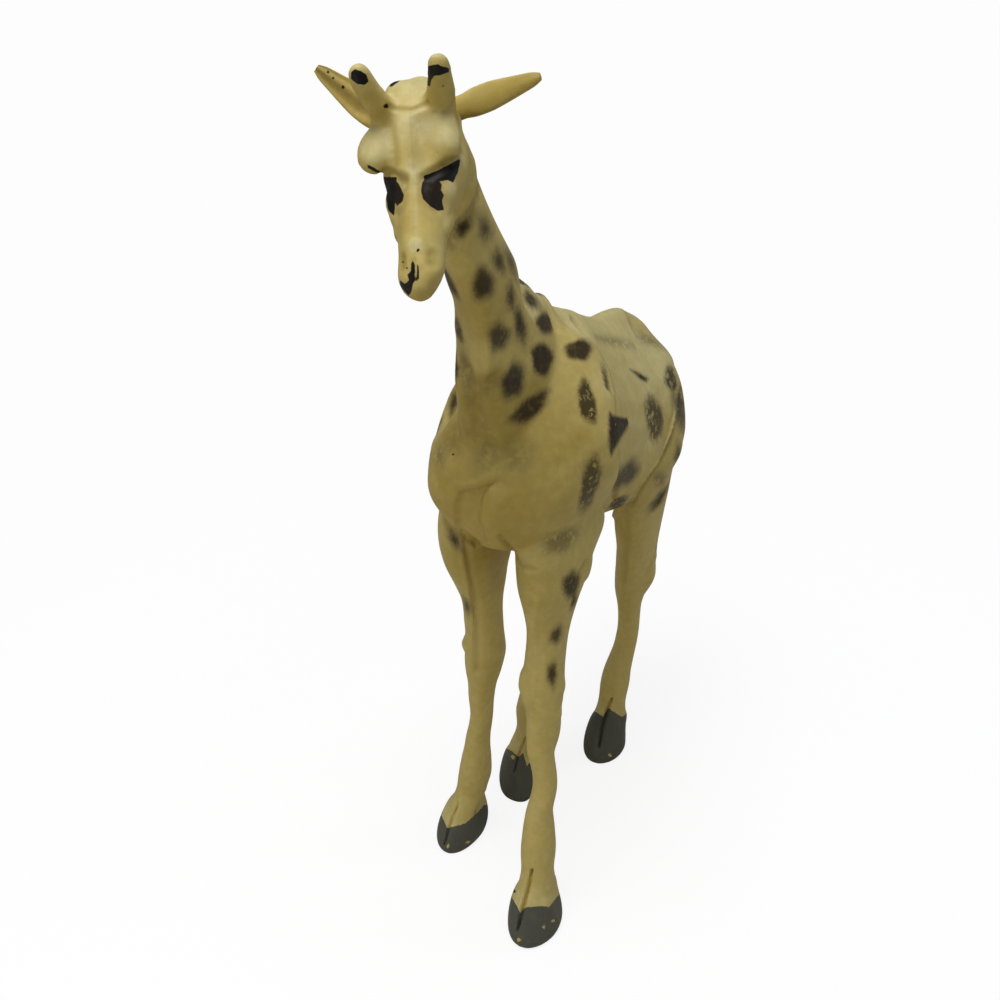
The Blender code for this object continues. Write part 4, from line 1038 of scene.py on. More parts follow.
def add_tail(bm):
    """Thin tail with a tuft of strands, hanging from a plug in the rump."""
    rump = tail_root()
    reach = TAIL_WIDTH / 2
    start = rump - ALONG * TAIL_PLUG
    sides = TAIL_STRANDS * 6
    rings = [add_ring(bm, start, ACROSS, UP, reach, reach, reach, sides=sides)]
    for along, width, tuft in smooth_rows(TAIL_SHARES, ROW_STEPS):
        reach = (TAIL_WIDTH * width + TAIL_TUFT_WIDTH * tuft) / 2
        bend = float(ease(along / TAIL_BEND_SHARE))
        turn = bend * math.pi / 2
        down = TAIL_LENGTH * max(along - TAIL_BEND_SHARE / 2, 0)
        droop = TAIL_LENGTH * TAIL_DROOP_SHARE * math.sin(math.pi * min(along, 1 / 2))
        centre = rump + ALONG * (TAIL_WIDTH * bend + droop) - UP * down
        upward = UP * math.cos(turn) + ALONG * math.sin(turn)
        ring = add_ring(bm, centre, ACROSS, upward, reach, reach, reach, sides=sides)
        strand_depth = TAIL_STRAND_SHARE * min(1, tuft * 2)
        for vert in ring:
            offset = vert.co - centre
            angle = math.atan2(offset.dot(upward), offset.x) + along * math.pi / 3
            vert.co = centre + offset * (1 - strand_depth * (1 + math.cos(TAIL_STRANDS * angle)) / 2)
        rings.append(ring)
    bridge(bm, rings)


# Meshes as arrays


def object_from(bm, name):
    """Turns a bmesh into an object with its faces pointing out."""
    bmesh.ops.recalc_face_normals(bm, faces=bm.faces)
    mesh = bpy.data.meshes.new(name)
    bm.to_mesh(mesh)
    bm.free()
    made = bpy.data.objects.new(name, mesh)
    bpy.context.scene.collection.objects.link(made)
    return made


def discard(item):
    """Removes an object and its mesh."""
    mesh = item.data
    bpy.data.objects.remove(item)
    bpy.data.meshes.remove(mesh)


def apply_modifiers(target):
    """Keeps what the modifiers make as the object's own mesh."""
    graph = bpy.context.evaluated_depsgraph_get()
    mesh = bpy.data.meshes.new_from_object(target.evaluated_get(graph))
    target.modifiers.clear()
    old = target.data
    target.data = mesh
    bpy.data.meshes.remove(old)


def read(mesh, what):
    """Places or normals of a mesh's points as rows of three numbers."""
    values = np.empty(len(mesh.vertices) * 3)
    mesh.vertices.foreach_get(what, values)
    return values.reshape(-1, 3)


def write(mesh, points):
    """Moves a mesh's points."""
    mesh.vertices.foreach_set("co", np.asarray(points, dtype=float).ravel())
    mesh.update()


def store(mesh, name, values):
    """Keeps one number for each point, for a material to read."""
    kept = mesh.attributes.new(name=name, type="FLOAT", domain="POINT")
    kept.data.foreach_set("value", np.asarray(values, dtype=np.float32))


def spun(vectors, axis, angles):
    """Vectors turned about an axis, each by its own angle."""
    axis = np.array(axis)
    cosine = np.cos(angles)[:, None]
    sine = np.sin(angles)[:, None]
    along = (vectors @ axis)[:, None] * axis
    return vectors * cosine + np.cross(axis, vectors) * sine + along * (1 - cosine)


def twist(points):
    """How far each point has turned with the head, and the middle of the neck beside it."""
    along = (points - np.array(NECK_ROOT)) @ np.array(NECK_AXIS) / NECK_LENGTH
    share = ease((along - TWIST_START_SHARE) / TWIST_SPAN_SHARE)
    middle = np.array(NECK_ROOT) + np.outer(np.clip(along, 0, 1) * NECK_LENGTH, NECK_AXIS)
    return share, middle


def turned_ways(points, ways):
    """Directions at straight points after the neck's twist."""
    share, _ = twist(points)
    return spun(spun(ways, FACE_AXIS, HEAD_TILT * share), NECK_AXIS, HEAD_TURN * share)


def straight_ways(points, ways):
    """Directions that the neck's twist will turn into the given ones."""
    share, _ = twist(points)
    return spun(spun(ways, NECK_AXIS, -HEAD_TURN * share), FACE_AXIS, -HEAD_TILT * share)


def turned(points):
    """Points after the neck is twisted and the head is carried round."""
    share, middle = twist(points)
    moved = middle + turned_ways(points, points - middle)
    return moved + np.outer(NECK_SWAY * share, ACROSS)


def nearest_on_line(points, line):
    """Distance from each point to a line of points, the nearest place on it and its share along."""
    line = np.asarray(line, dtype=float)
    best = np.linalg.norm(points - line[0], axis=1)
    places = np.tile(line[0], (len(points), 1))
    along = np.zeros(len(points))
    for index, (start, end) in enumerate(zip(line, line[1:])):
        way = end - start
        share = np.clip((points - start) @ way / max(way @ way, 1e-18), 0, 1)
        place = start + share[:, None] * way
        distance = np.linalg.norm(points - place, axis=1)
        closer = distance < best
        best[closer] = distance[closer]
        places[closer] = place[closer]
        along[closer] = (index + share[closer]) / (len(line) - 1)
    return best, places, along


def in_outline(pixels, outline):
    """Signed distance of each pixel to the edge of an outline, positive inside."""
    outline = np.asarray(outline, dtype=float)
    closed = np.vstack((outline, outline[:1]))
    distance, _, _ = nearest_on_line(pixels, closed)
    inside = np.zeros(len(pixels), dtype=bool)
    for (u0, v0), (u1, v1) in zip(closed, closed[1:]):
        crosses = (v0 > pixels[:, 1]) != (v1 > pixels[:, 1])
        if v1 != v0:
            at = u0 + (pixels[:, 1] - v0) * (u1 - u0) / (v1 - v0)
            inside ^= crosses & (pixels[:, 0] < at)
    return np.where(inside, distance, -distance)


# The photograph's view


class View:
    """The camera as the photograph had it."""

    def __init__(self, stage):
        turn = stage.camera_turn
        rise = stage.camera_rise
        roll = stage.camera_roll
        back = Vector((math.sin(turn) * math.cos(rise), -math.cos(turn) * math.cos(rise), math.sin(rise)))
        level = Vector((math.cos(turn), math.sin(turn), 0))
        upright = back.cross(level)
        self.back = back
        self.right = level * math.cos(roll) + upright * math.sin(roll)
        self.up = upright * math.cos(roll) - level * math.sin(roll)
        self.eye = Vector(stage.camera_aim) + back * stage.camera_distance

    def pixels(self, points):
        """Pixels that points fall on, and how many pixels a metre takes up there."""
        away = points - np.array(self.eye)
        scale = PIXEL_LENS / -(away @ np.array(self.back))
        u = PHOTO_SIDE / 2 + away @ np.array(self.right) * scale
        v = PHOTO_SIDE / 2 - away @ np.array(self.up) * scale
        return np.column_stack((u, v)), scale

    def facing(self, points, normals):
        """How squarely a surface faces the camera, from -1 to 1."""
        way = np.array(self.eye) - points
        way /= np.linalg.norm(way, axis=1)[:, None]
        return (way * normals).sum(axis=1)

    def ray(self, pixel):
        """Direction from the camera through a pixel."""
        x = (pixel[0] - PHOTO_SIDE / 2) / PIXEL_LENS
        y = (PHOTO_SIDE / 2 - pixel[1]) / PIXEL_LENS
        return (self.right * x + self.up * y - self.back).normalized()


# The uncut skin


def in_fine_zone(points):
    """Whether points lie on the head or on the hooves, where the work is finer."""
    ahead = (points - np.array(POLL)) @ np.array(FACE_AXIS)
    return (points[:, 2] < HOOF_ZONE) | ((ahead > -HEAD_LENGTH / 4) & (points[:, 2] > POLL.z - HEAD_LENGTH))


def melted_forms(settings):
    """All forms of the figure melted into one skin, its head held straight."""
    bm = bmesh.new()
    add_trunk(bm)
    add_neck(bm)
    add_head(bm)
    add_brows(bm)
    add_horns(bm)
    for name in STEP_SHARES:
        add_leg(bm, name)
    made = object_from(bm, "skin")
    melt = made.modifiers.new("Melt", "REMESH")
    melt.mode = "VOXEL"
    melt.voxel_size = settings.grain
    apply_modifiers(made)
    # Remesh wavers in its last digits, and whole steps make every run alike
    write(made.data, np.round(read(made.data, "co") / SNAP_STEP) * SNAP_STEP)
    bm = bmesh.new()
    bm.from_mesh(made.data)
    soften(bm, bm.verts, settings.softenings)
    points = np.array([vert.co for vert in bm.verts])
    fine = set(np.flatnonzero(in_fine_zone(points)).tolist())
    edges = [e for e in bm.edges if e.verts[0].index in fine and e.verts[1].index in fine]
    bmesh.ops.subdivide_edges(bm, edges=edges, cuts=1, use_grid_fill=True)
    points = np.array([vert.co for vert in bm.verts])
    verts = list(bm.verts)
    soften(bm, [verts[i] for i in np.flatnonzero(in_fine_zone(points))], FINE_SOFTENINGS)
    bm.to_mesh(made.data)
    bm.free()
    return made


def soften(bm, verts, rounds):
    """Smooths points between their neighbours."""
    for _ in range(rounds):
        bmesh.ops.smooth_vert(
            bm, verts=list(verts), factor=0.5, use_axis_x=True, use_axis_y=True, use_axis_z=True
        )


class Skin:
    """The whole uncut figure, and the way from the photograph's pixels to its surface."""

    def __init__(self, settings, view):
        self.view = view
        self.item = melted_forms(settings)
        self.straight = read(self.item.data, "co")
        self.stand = self.standing_shift(turned(self.straight))
        self.polygons = [tuple(face.vertices) for face in self.item.data.polygons]
        self.look()
        self.pull()
        self.look()
        self.carve(settings.carving)

    def look(self):
        """Notes where the skin's points stand and which of them the camera sees."""
        self.final = turned(self.straight) + self.stand
        self.tree = BVHTree.FromPolygons([Vector(p) for p in self.final], self.polygons)
        ways = turned_ways(self.straight, read(self.item.data, "normal"))
        self.seen = np.flatnonzero(self.view.facing(self.final, ways) > 0)
        self.seen_pixels = self.view.pixels(self.final[self.seen])[0]

    def pull(self):
        """Draws parts of the skin across the photograph, each fading out over its reach."""
        moves = np.zeros(self.straight.shape)
        for _, reach, start, end in PULLS:
            final, place = self.under(start)
            scale = self.view.pixels(np.array([final]))[1][0]
            du, dv = np.subtract(end, start) / scale
            distance = np.linalg.norm(self.straight - place, axis=1)
            near = np.flatnonzero(distance < reach)
            fade = (1 - (distance[near] / reach) ** 2) ** 2
            way = np.array([self.view.right * du - self.view.up * dv] * len(near))
            moves[near] += straight_ways(self.straight[near], way) * fade[:, None]
        self.straight = self.straight + moves
        write(self.item.data, self.straight)

    def standing_shift(self, bent):
        """Shift that puts the figure where the frame has it."""
        bm = bmesh.new()
        add_ear(bm, 1)
        add_ear(bm, -1)
        add_tail(bm)
        extra = turned(np.array([vert.co for vert in bm.verts]))
        bm.free()
        points = np.vstack((bent[bent[:, 2] > 0], extra))
        middle = (points.min(axis=0) + points.max(axis=0)) / 2
        target = (np.array(CAD_BOX[0]) + np.array(CAD_BOX[1])) / 2
        return np.array((target[0] - middle[0], target[1] - middle[1], 0))

    def under(self, pixel):
        """Place on the skin under a pixel: standing in the frame, and with the head straight."""
        hit, _, face, _ = self.tree.ray_cast(self.view.eye, self.view.ray(pixel))
        if hit is None:
            away = np.linalg.norm(self.seen_pixels - np.array(pixel), axis=1)
            nearest = self.seen[int(away.argmin())]
            return self.final[nearest], self.straight[nearest]
        corners = list(self.polygons[face])
        weights = np.array(poly_3d_calc([Vector(self.final[c]) for c in corners], hit))
        return np.array(hit), weights @ self.straight[corners]

    def line_under(self, pixels):
        """Straight places along a line of pixels."""
        if len(pixels) == 1:
            return np.array([self.under(pixels[0])[1]])
        places = []
        for start, end in zip(pixels, pixels[1:]):
            steps = max(1, round(math.dist(start, end) / STROKE_STEP))
            for step in range(steps):
                share = step / steps
                pixel = (start[0] + (end[0] - start[0]) * share, start[1] + (end[1] - start[1]) * share)
                places.append(self.under(pixel)[1])
        places.append(self.under(pixels[-1])[1])
        return np.array(places)

    def carve(self, amount):
        """Pushes the folds and ridges into the skin."""
        tree = BVHTree.FromPolygons([Vector(p) for p in self.straight], self.polygons)
        self.lines = []
        for _, reach, rise, both, pixels in STROKES:
            line = self.line_under(pixels)
            self.lines.append((reach, rise, line))
            if both:
                self.lines.append((reach, rise, other_side(line, tree)))
        self.edges = []
        for _, ahead, reach, drop, rise, pixels in STEPS:
            line = self.line_under(pixels)
            self.edges.append((ahead, reach, drop, rise, line))
            self.edges.append((ahead, reach, drop, rise, other_side(line, tree)))
        self.slits = [(self.line_under(pixels), width, depth) for pixels, width, depth in SLITS.values()]
        self.fields = []
        for _, depth, softness, outline in HOLLOWS:
            rim = self.line_under(outline)
            middle = rim.mean(axis=0)
            size = np.linalg.norm(rim - middle, axis=1).max() + softness
            self.fields.append((depth, softness, outline, middle, size))
        height, _ = self.relief(self.straight)
        normals = read(self.item.data, "normal")
        self.straight = self.straight + normals * (height * amount)[:, None]
        write(self.item.data, self.straight)

    def relief(self, points):
        """Height of the carving over the plain form at straight points, and how creased it is: how much
        painted shade and dust darken folds, the feet of steps and the rims of hollows.
        """
        height = np.zeros(len(points))
        crease = np.zeros(len(points))
        for reach, rise, line in self.lines:
            near = self.near(points, line, reach * CREASE_BOX_SHARE)
            distance, _, _ = nearest_on_line(points[near], line)
            height[near] += rise * np.maximum(0, 1 - (distance / reach) ** 2) ** 2
            if rise < 0:
                wide = np.maximum(0, 1 - (distance / reach / CREASE_WIDTH_SHARE) ** 2) ** 2
                crease[near] = np.maximum(crease[near], wide * min(1, -rise / MM))
        for ahead, reach, drop, rise, line in self.edges:
            near = self.near(points, line, reach)
            distance, nearest, along = nearest_on_line(points[near], line)
            sign = np.sign((points[near] - nearest) @ np.array(ahead))
            front = np.maximum(0, 1 - (distance / reach) ** 2) ** 2
            back = ease(1 - distance / drop)
            ends = ease(np.minimum(along, 1 - along) / STEP_END_SHARE)
            height[near] += rise * ends * np.where(sign > 0, front, back)
            foot = np.maximum(0, 1 - ((distance - drop) / drop) ** 2) * (sign < 0)
            crease[near] = np.maximum(crease[near], STEP_CREASE * foot * ends)
        for line, width, depth in self.slits:
            near = self.near(points, line, width)
            distance, _, along = nearest_on_line(points[near], line)
            height[near] -= depth * np.maximum(0, 1 - distance / slit_half(width, along) / SLIT_OPENING_SHARE)
        for depth, softness, outline, middle, size in self.fields:
            near = np.flatnonzero(np.linalg.norm(points - middle, axis=1) < size)
            pixels, scale = self.view.pixels(turned(points[near]) + self.stand)
            inside = ease(in_outline(pixels, outline) / scale / softness)
            height[near] -= depth * inside
            crease[near] = np.maximum(crease[near], HOLLOW_CREASE * inside * (1 - inside))
        return height, crease

    @staticmethod
    def near(points, places, reach):
        """Which points lie in the box round some places."""
        low = places.min(axis=0) - reach
        high = places.max(axis=0) + reach
        return np.flatnonzero(((points > low) & (points < high)).all(axis=1))


def other_side(line, tree):
    """The same line on the animal's other side, evened out and laid on the skin there."""
    places = line * MIRROR
    for _ in range(OTHER_SIDE_SOFTENINGS):
        places[1:-1] = (places[:-2] + 2 * places[1:-1] + places[2:]) / 4
    return np.array([tree.find_nearest(Vector(place))[0] for place in places])


def slit_half(width, along):
    """Half width of a hoof's slit at shares along it, widest in the middle."""
    swell = np.sin(math.pi * np.clip(along, 0, 1))
    return width * (SLIT_END_SHARE + (1 - SLIT_END_SHARE) * swell) / 2


def skin_of(context):
    """The uncut skin, made once for all operators."""
    if "skin" not in made_before:
        made_before["skin"] = Skin(context.scene.giraffe_shell, View(context.scene.giraffe_stage))
    return made_before["skin"]


# Cutting


def add_box(bm, low, high):
    """Box between two corners."""
    pose = Matrix.Translation((low + high) / 2) @ Matrix.Diagonal(high - low).to_4x4()
    bmesh.ops.create_cube(bm, size=1, matrix=pose)


def cut(target, tool):
    """Cuts a tool from an object and throws the tool away."""
    modifier = target.modifiers.new("Cut", "BOOLEAN")
    modifier.operation = "DIFFERENCE"
    modifier.object = tool
    modifier.solver = SEAM_SOLVER
    apply_modifiers(target)
    discard(tool)


def sole_cutter():
    """Everything below the ground."""
    bm = bmesh.new()
    reach = (OVERRUN + TRUNK_LENGTH) * 2
    add_box(bm, Vector((-reach, -reach, -OVERRUN)), Vector((reach, reach, 0)))
    return object_from(bm, "sole_cutter")


def body_saw(gap):
    """Thin sheet down the midplane."""
    bm = bmesh.new()
    reach = TRUNK_LENGTH + OVERRUN
    bottom = min(leg_shell_top(name) for name in STEP_SHARES) + gap
    top = POLL.z + HORN_LENGTH + OVERRUN
    add_box(bm, Vector((-gap / 2, -reach, bottom)), Vector((gap / 2, reach, top)))
    return object_from(bm, "body_saw")


def leg_saw(name, gap):
    """Thin sheet round the inner shell of one leg: down its seam and over its top."""
    side = leg_side(name)
    half = gap / 2
    top = leg_shell_top(name)
    upper = leg_seam(name, top)
    lower = leg_seam(name, -OVERRUN)
    front, back = leg_reach(name)
    outline = (
        (lower + side * half, -OVERRUN),
        (upper + side * half, top + half),
        (side * gap, top + half),
        (side * gap, top - half),
        (upper - side * half, top - half),
        (lower - side * half, -OVERRUN),
    )
    bm = bmesh.new()
    verts = bmesh.ops.create_circle(bm, cap_ends=True, segments=len(outline), radius=1)["verts"]
    for vert, (x, z) in zip(verts, outline):
        vert.co = Vector((x, front, z))
    grown = bmesh.ops.extrude_face_region(bm, geom=list(bm.faces))["geom"]
    moved = [item for item in grown if isinstance(item, bmesh.types.BMVert)]
    bmesh.ops.translate(bm, verts=moved, vec=ALONG * (back - front))
    return object_from(bm, f"{name}_saw")


def loose_shells(source):
    """Separate closed bodies of an object, largest first."""
    for item in bpy.context.selected_objects:
        item.select_set(False)
    source.select_set(True)
    bpy.context.view_layer.objects.active = source
    bpy.ops.mesh.separate(type="LOOSE")
    shells = list(bpy.context.selected_objects)
    for shell in [s for s in shells if len(s.data.vertices) < SMALLEST_SHELL]:
        shells.remove(shell)
        discard(shell)
    return sorted(shells, key=lambda shell: len(shell.data.vertices), reverse=True)


def shells_of(context):
    """The six moulded shells under their nodes' names, cut once for both operators."""
    if "shells" in made_before:
        return made_before["shells"]
    skin = skin_of(context)
    gap = context.scene.giraffe_shell.seam_gap
    block = bpy.data.objects.new("block", skin.item.data.copy())
    context.scene.collection.objects.link(block)
    for tool in [sole_cutter(), body_saw(gap)] + [leg_saw(name, gap) for name in STEP_SHARES]:
        cut(block, tool)
    named = {}
    for shell in loose_shells(block):
        middle = read(shell.data, "co").mean(axis=0)
        side = "left" if middle[0] > 0 else "right"
        if f"body_{side}_half" not in named:
            named[f"body_{side}_half"] = shell
            continue
        pair = min(LEG_PAIRS, key=lambda p: abs(leg_middle(f"{p}_{side}", middle[2]).y - middle[1]))
        named[f"{pair}_{side}_inner"] = shell
    if len(named) != SHELL_COUNT:
        raise RuntimeError(f"the saws left {sorted(named)} instead of six shells")
    made_before["shells"] = named
    return named


# Paint fields


NOWHERE = -10 * MM


class Surface:
    """Points of one piece while its paint is laid on."""

    def __init__(self, skin, mesh):
        self.skin = skin
        self.straight = read(mesh, "co")
        self.straight_normals = read(mesh, "normal")
        self.final = turned(self.straight) + skin.stand
        self.normals = turned_ways(self.straight, self.straight_normals)
        self.pixels, self.scale = skin.view.pixels(self.final)
        self.facing = skin.view.facing(self.final, self.normals)

    def mirrored(self):
        """The same points seen as if they lay on the animal's other side."""
        other = object.__new__(Surface)
        other.skin = self.skin
        other.straight = self.straight * MIRROR
        other.straight_normals = self.straight_normals * MIRROR
        other.final = turned(other.straight) + self.skin.stand
        other.normals = turned_ways(other.straight, other.straight_normals)
        other.pixels, other.scale = self.skin.view.pixels(other.final)
        other.facing = self.skin.view.facing(other.final, other.normals)
        return other

    def near(self, pixel, reach):
        """Which points lie within reach of the skin under a pixel and face the camera."""
        place, _ = self.skin.under(pixel)
        close = np.linalg.norm(self.final - place, axis=1) < reach
        return np.flatnonzero(close & (self.facing > -0.25))


def ragged_oval(surface, middle, halves, lean, seed):
    """Field of one uneven oval: metres inside its edge, and which points it touches."""
    size = max(halves)
    place, _ = surface.skin.under(middle)
    scale = float(surface.skin.view.pixels(np.array([place]))[1][0])
    near = surface.near(middle, 2.2 * size / scale + 2 * MM)
    du, dv = (surface.pixels[near] - np.array(middle)).T
    sine = math.sin(math.radians(lean))
    cosine = math.cos(math.radians(lean))
    across = (du * cosine + dv * sine) / halves[0]
    along = (du * sine - dv * cosine) / halves[1]
    angle = np.arctan2(along, across)
    edge = 1 + 0.09 * np.sin(2 * angle + seed) + 0.07 * np.sin(3 * angle + 1.7 * seed)
    edge += 0.05 * np.sin(5 * angle + 2.3 * seed)
    return near, (1 - np.hypot(across, along) / edge) * min(halves) / scale


def outline_field(surface, outline):
    """Field of one drawn outline: metres inside its edge, and which points it touches."""
    middle = tuple(np.mean(outline, axis=0))
    place, _ = surface.skin.under(middle)
    scale = float(surface.skin.view.pixels(np.array([place]))[1][0])
    size = max(math.dist(middle, point) for point in outline)
    near = surface.near(middle, 1.3 * size / scale + 3 * MM)
    return near, in_outline(surface.pixels[near], outline) / scale


def lay_on(fields, near, values, **qualities):
    """Lays one field over those before it, with its qualities."""
    over = values > fields["field"][near]
    spots = near[over]
    fields["field"][spots] = values[over]
    for name, value in qualities.items():
        fields[name][spots] = value


def empty_fields(count, names):
    """Paint fields with nothing on them yet."""
    fields = {name: np.zeros(count) for name in names}
    fields["field"] = np.full(count, NOWHERE)
    return fields


def spot_fields(surface):
    """Sprayed spots of both sides."""
    fields = empty_fields(len(surface.straight), ("soft", "cold", "worn"))
    other = surface.mirrored()
    for seed, (middle, halves, lean, soft, cold, worn, both) in enumerate(SPOTS):
        for side in (surface, other) if both else (surface,):
            near, values = ragged_oval(side, middle, halves, lean, seed * 1.3)
            lay_on(fields, near, values, soft=soft, cold=cold, worn=worn)
    for outline, soft in ((TRIANGLE_SPOT, 0.25), (POINTED_SPOT, 0.3)):
        for side in (surface, other):
            near, values = outline_field(side, outline)
            lay_on(fields, near, values, soft=soft, cold=0.1, worn=0.1)
    for seed, (leg, height, around, half_width, half_height, soft, cold) in enumerate(FAR_SPOTS):
        middle = np.array(leg_middle(leg, height))
        turn = math.radians(around)
        way = np.array((leg_side(leg) * math.cos(turn), math.sin(turn), 0))
        beside = np.array((-way[1], way[0], 0))
        offset = surface.straight - middle
        near = np.flatnonzero(
            (surface.straight_normals @ way > 0.2)
            & (offset @ way > 0)
            & (np.linalg.norm(offset, axis=1) < 30 * MM)
        )
        across = offset[near] @ beside / half_width
        along = offset[near, 2] / half_height
        angle = np.arctan2(along, across)
        edge = 1 + 0.12 * np.sin(2 * angle + seed) + 0.08 * np.sin(3 * angle + 2 * seed)
        values = (1 - np.hypot(across, along) / edge) * min(half_width, half_height)
        lay_on(fields, near, values, soft=soft, cold=cold, worn=0.3)
    return fields


MANE_WIDTH = 3.6 * MM


def mane_field(surface):
    """Dark line sprayed down the crest of the neck."""
    axis = np.array(NECK_AXIS)
    along = (surface.straight - np.array(NECK_ROOT)) @ axis / NECK_LENGTH
    behind = (surface.straight - np.array(NECK_ROOT)) @ np.array(NECK_CREST)
    width = MANE_WIDTH * (0.7 + 0.3 * np.sin(along * 23))
    field = width - np.abs(surface.straight[:, 0])
    shown = (behind > 0) & (along > 0.12) & (along < 0.98) & (surface.straight_normals[:, 1] > 0.1)
    return np.where(shown, field, NOWHERE)


def mark_fields(surface):
    """Brushed eyes, horn bands and marks, with how brown each is, and painted shade drawn black in the
    hooves' slits.
    """
    fields = empty_fields(len(surface.straight), ("brown",))
    for outline in BLACK_MARKS.values():
        near, values = outline_field(surface, outline)
        lay_on(fields, near, values, brown=0)
    for outline in BROWN_MARKS.values():
        near, values = outline_field(surface, outline)
        lay_on(fields, near, values, brown=1)
    for seed, (middle, size) in enumerate(SPECKS):
        near, values = ragged_oval(surface, middle, (size, size * 1.2), seed * 40, seed)
        lay_on(fields, near, values, brown=0.3)
    # Painted shade: the hooves' slits are drawn black where they are only deep and shaded
    for line, width, _ in surface.skin.slits:
        near = surface.skin.near(surface.straight, line, width * 2)
        distance, _, along = nearest_on_line(surface.straight[near], line)
        lay_on(fields, near, slit_half(width, along) - distance, brown=0)
    for side in (-1, 1):
        root, aim = horn_line(side)
        offset = surface.straight - np.array(root)
        along = offset @ np.array(aim) / (HORN_LENGTH + HORN_WIDTH)
        off_axis = np.linalg.norm(offset - np.outer(offset @ np.array(aim), aim), axis=1)
        band = (0.10 - np.abs(along - 0.80)) * HORN_LENGTH
        hidden = (off_axis < HORN_WIDTH) & (surface.facing < 0.1)
        near = np.flatnonzero(hidden)
        lay_on(fields, near, band[near], brown=0)
    return fields


def hoof_field(surface):
    """Brushed hooves: metres below the paint's upper edge."""
    field = np.full(len(surface.straight), NOWHERE)
    for leg, edge in HOOF_EDGES.items():
        ground = np.array(leg_middle(leg, 0))
        low = surface.straight[:, 2] < HOOF_ZONE
        away = np.hypot(surface.straight[:, 0] - ground[0], surface.straight[:, 1] - ground[1])
        near = np.flatnonzero(low & (away < 20 * MM))
        u, v = surface.pixels[near].T
        columns, rows = np.array(edge, dtype=float).T
        seen = (v - np.interp(u, columns, rows)) / surface.scale[near]
        hidden = HOOF_PAINT_HEIGHT - surface.straight[near, 2]
        share = ease((surface.facing[near] + 0.1) / 0.3)
        field[near] = np.maximum(field[near], seen * share + hidden * (1 - share))
    for seed, (middle, size) in enumerate(SCRAPES):
        near, values = ragged_oval(surface, middle, (size, size * 1.5), seed * 50, seed)
        field[near] = np.minimum(field[near], -values)
    return field


def painted_shade_and_ageing_field(surface):
    """Painted shade and light, with some ageing: how much darker and yellower (+) or lighter (-) the plastic
    is drawn.
    """
    painted_shade_and_ageing = np.zeros(len(surface.straight))
    for pixel, reach, amount in PAINTED_SHADE_AND_AGEING:
        _, place = surface.skin.under(pixel)
        for centre in (place, place * MIRROR):
            distance = np.linalg.norm(surface.straight - centre, axis=1)
            painted_shade_and_ageing += amount * np.maximum(0, 1 - (distance / reach) ** 2) ** 2
    return np.clip(painted_shade_and_ageing, -1, 1)


def paint_and_turn(skin, item):
    """Stores the paint of one piece on its points, turns its head and stands it in the frame."""
    mesh = item.data
    surface = Surface(skin, mesh)
    spots = spot_fields(surface)
    marks = mark_fields(surface)
    _, crease = skin.relief(surface.straight)
    store(mesh, "spot", spots["field"] / MM)
    store(mesh, "spot_soft", spots["soft"])
    store(mesh, "spot_cold", spots["cold"])
    store(mesh, "spot_worn", spots["worn"])
    store(mesh, "mark", marks["field"] / MM)
    store(mesh, "mark_brown", marks["brown"])
    store(mesh, "mane", mane_field(surface) / MM)
    store(mesh, "hoof", hoof_field(surface) / MM)
    # Painted shade and light, with some ageing, for the plastic's colour
    store(mesh, "painted_shade_and_ageing", painted_shade_and_ageing_field(surface))
    # Painted shade and dust in the folds
    store(mesh, "crease", crease)
    write(mesh, surface.final)
    mesh.shade_smooth()
    mesh.set_sharp_from_angle(angle=SHARP_ANGLE)


# Materials


def add_node(tree, kind, inputs=None, **settings):
    """Adds a node with its settings, values and links."""
    made = tree.nodes.new(kind)
    for name, value in settings.items():
        setattr(made, name, value)
    for name, value in (inputs or {}).items():
        socket = made.inputs[name]
        if isinstance(value, bpy.types.NodeSocket):
            tree.links.new(value, socket)
        else:
            socket.default_value = value
    return made


def maths(tree, operation, *values, clamp=False):
    """Result of a Math node."""
    inputs = dict(enumerate(values))
    return add_node(tree, "ShaderNodeMath", inputs, operation=operation, use_clamp=clamp).outputs[0]


def blend(tree, factor, under, over, mode="MIX"):
    """One colour laid over another."""
    made = add_node(tree, "ShaderNodeMix", data_type="RGBA", blend_type=mode, clamp_factor=True)
    for index, value in ((0, factor), (6, under), (7, over)):
        if isinstance(value, bpy.types.NodeSocket):
            tree.links.new(value, made.inputs[index])
        else:
            made.inputs[index].default_value = value
    return made.outputs[2]


def noise(tree, size, detail=3, roughness=0.55):
    """Noise over the object with features of one size."""
    place = add_node(tree, "ShaderNodeTexCoord").outputs["Object"]
    inputs = {"Vector": place, "Scale": 1 / size, "Detail": detail, "Roughness": roughness}
    return add_node(tree, "ShaderNodeTexNoise", inputs).outputs["Fac"]


def ramp(tree, value, start, end):
    """Smooth change from 0 to 1 between two values."""
    inputs = {"Value": value, "From Min": start, "From Max": end}
    made = add_node(tree, "ShaderNodeMapRange", inputs, interpolation_type="SMOOTHSTEP")
    return made.outputs["Result"]


def new_group(name, inputs, outputs):
    """Empty node group with named sockets, and its two ends."""
    tree = bpy.data.node_groups.new(name, "ShaderNodeTree")
    for label, kind in inputs:
        tree.interface.new_socket(label, in_out="INPUT", socket_type=kind)
    for label, kind in outputs:
        tree.interface.new_socket(label, in_out="OUTPUT", socket_type=kind)
    start = tree.nodes.new("NodeGroupInput").outputs
    end = tree.nodes.new("NodeGroupOutput").inputs
    return tree, start, end


FLOAT = "NodeSocketFloat"
COLOUR = "NodeSocketColor"


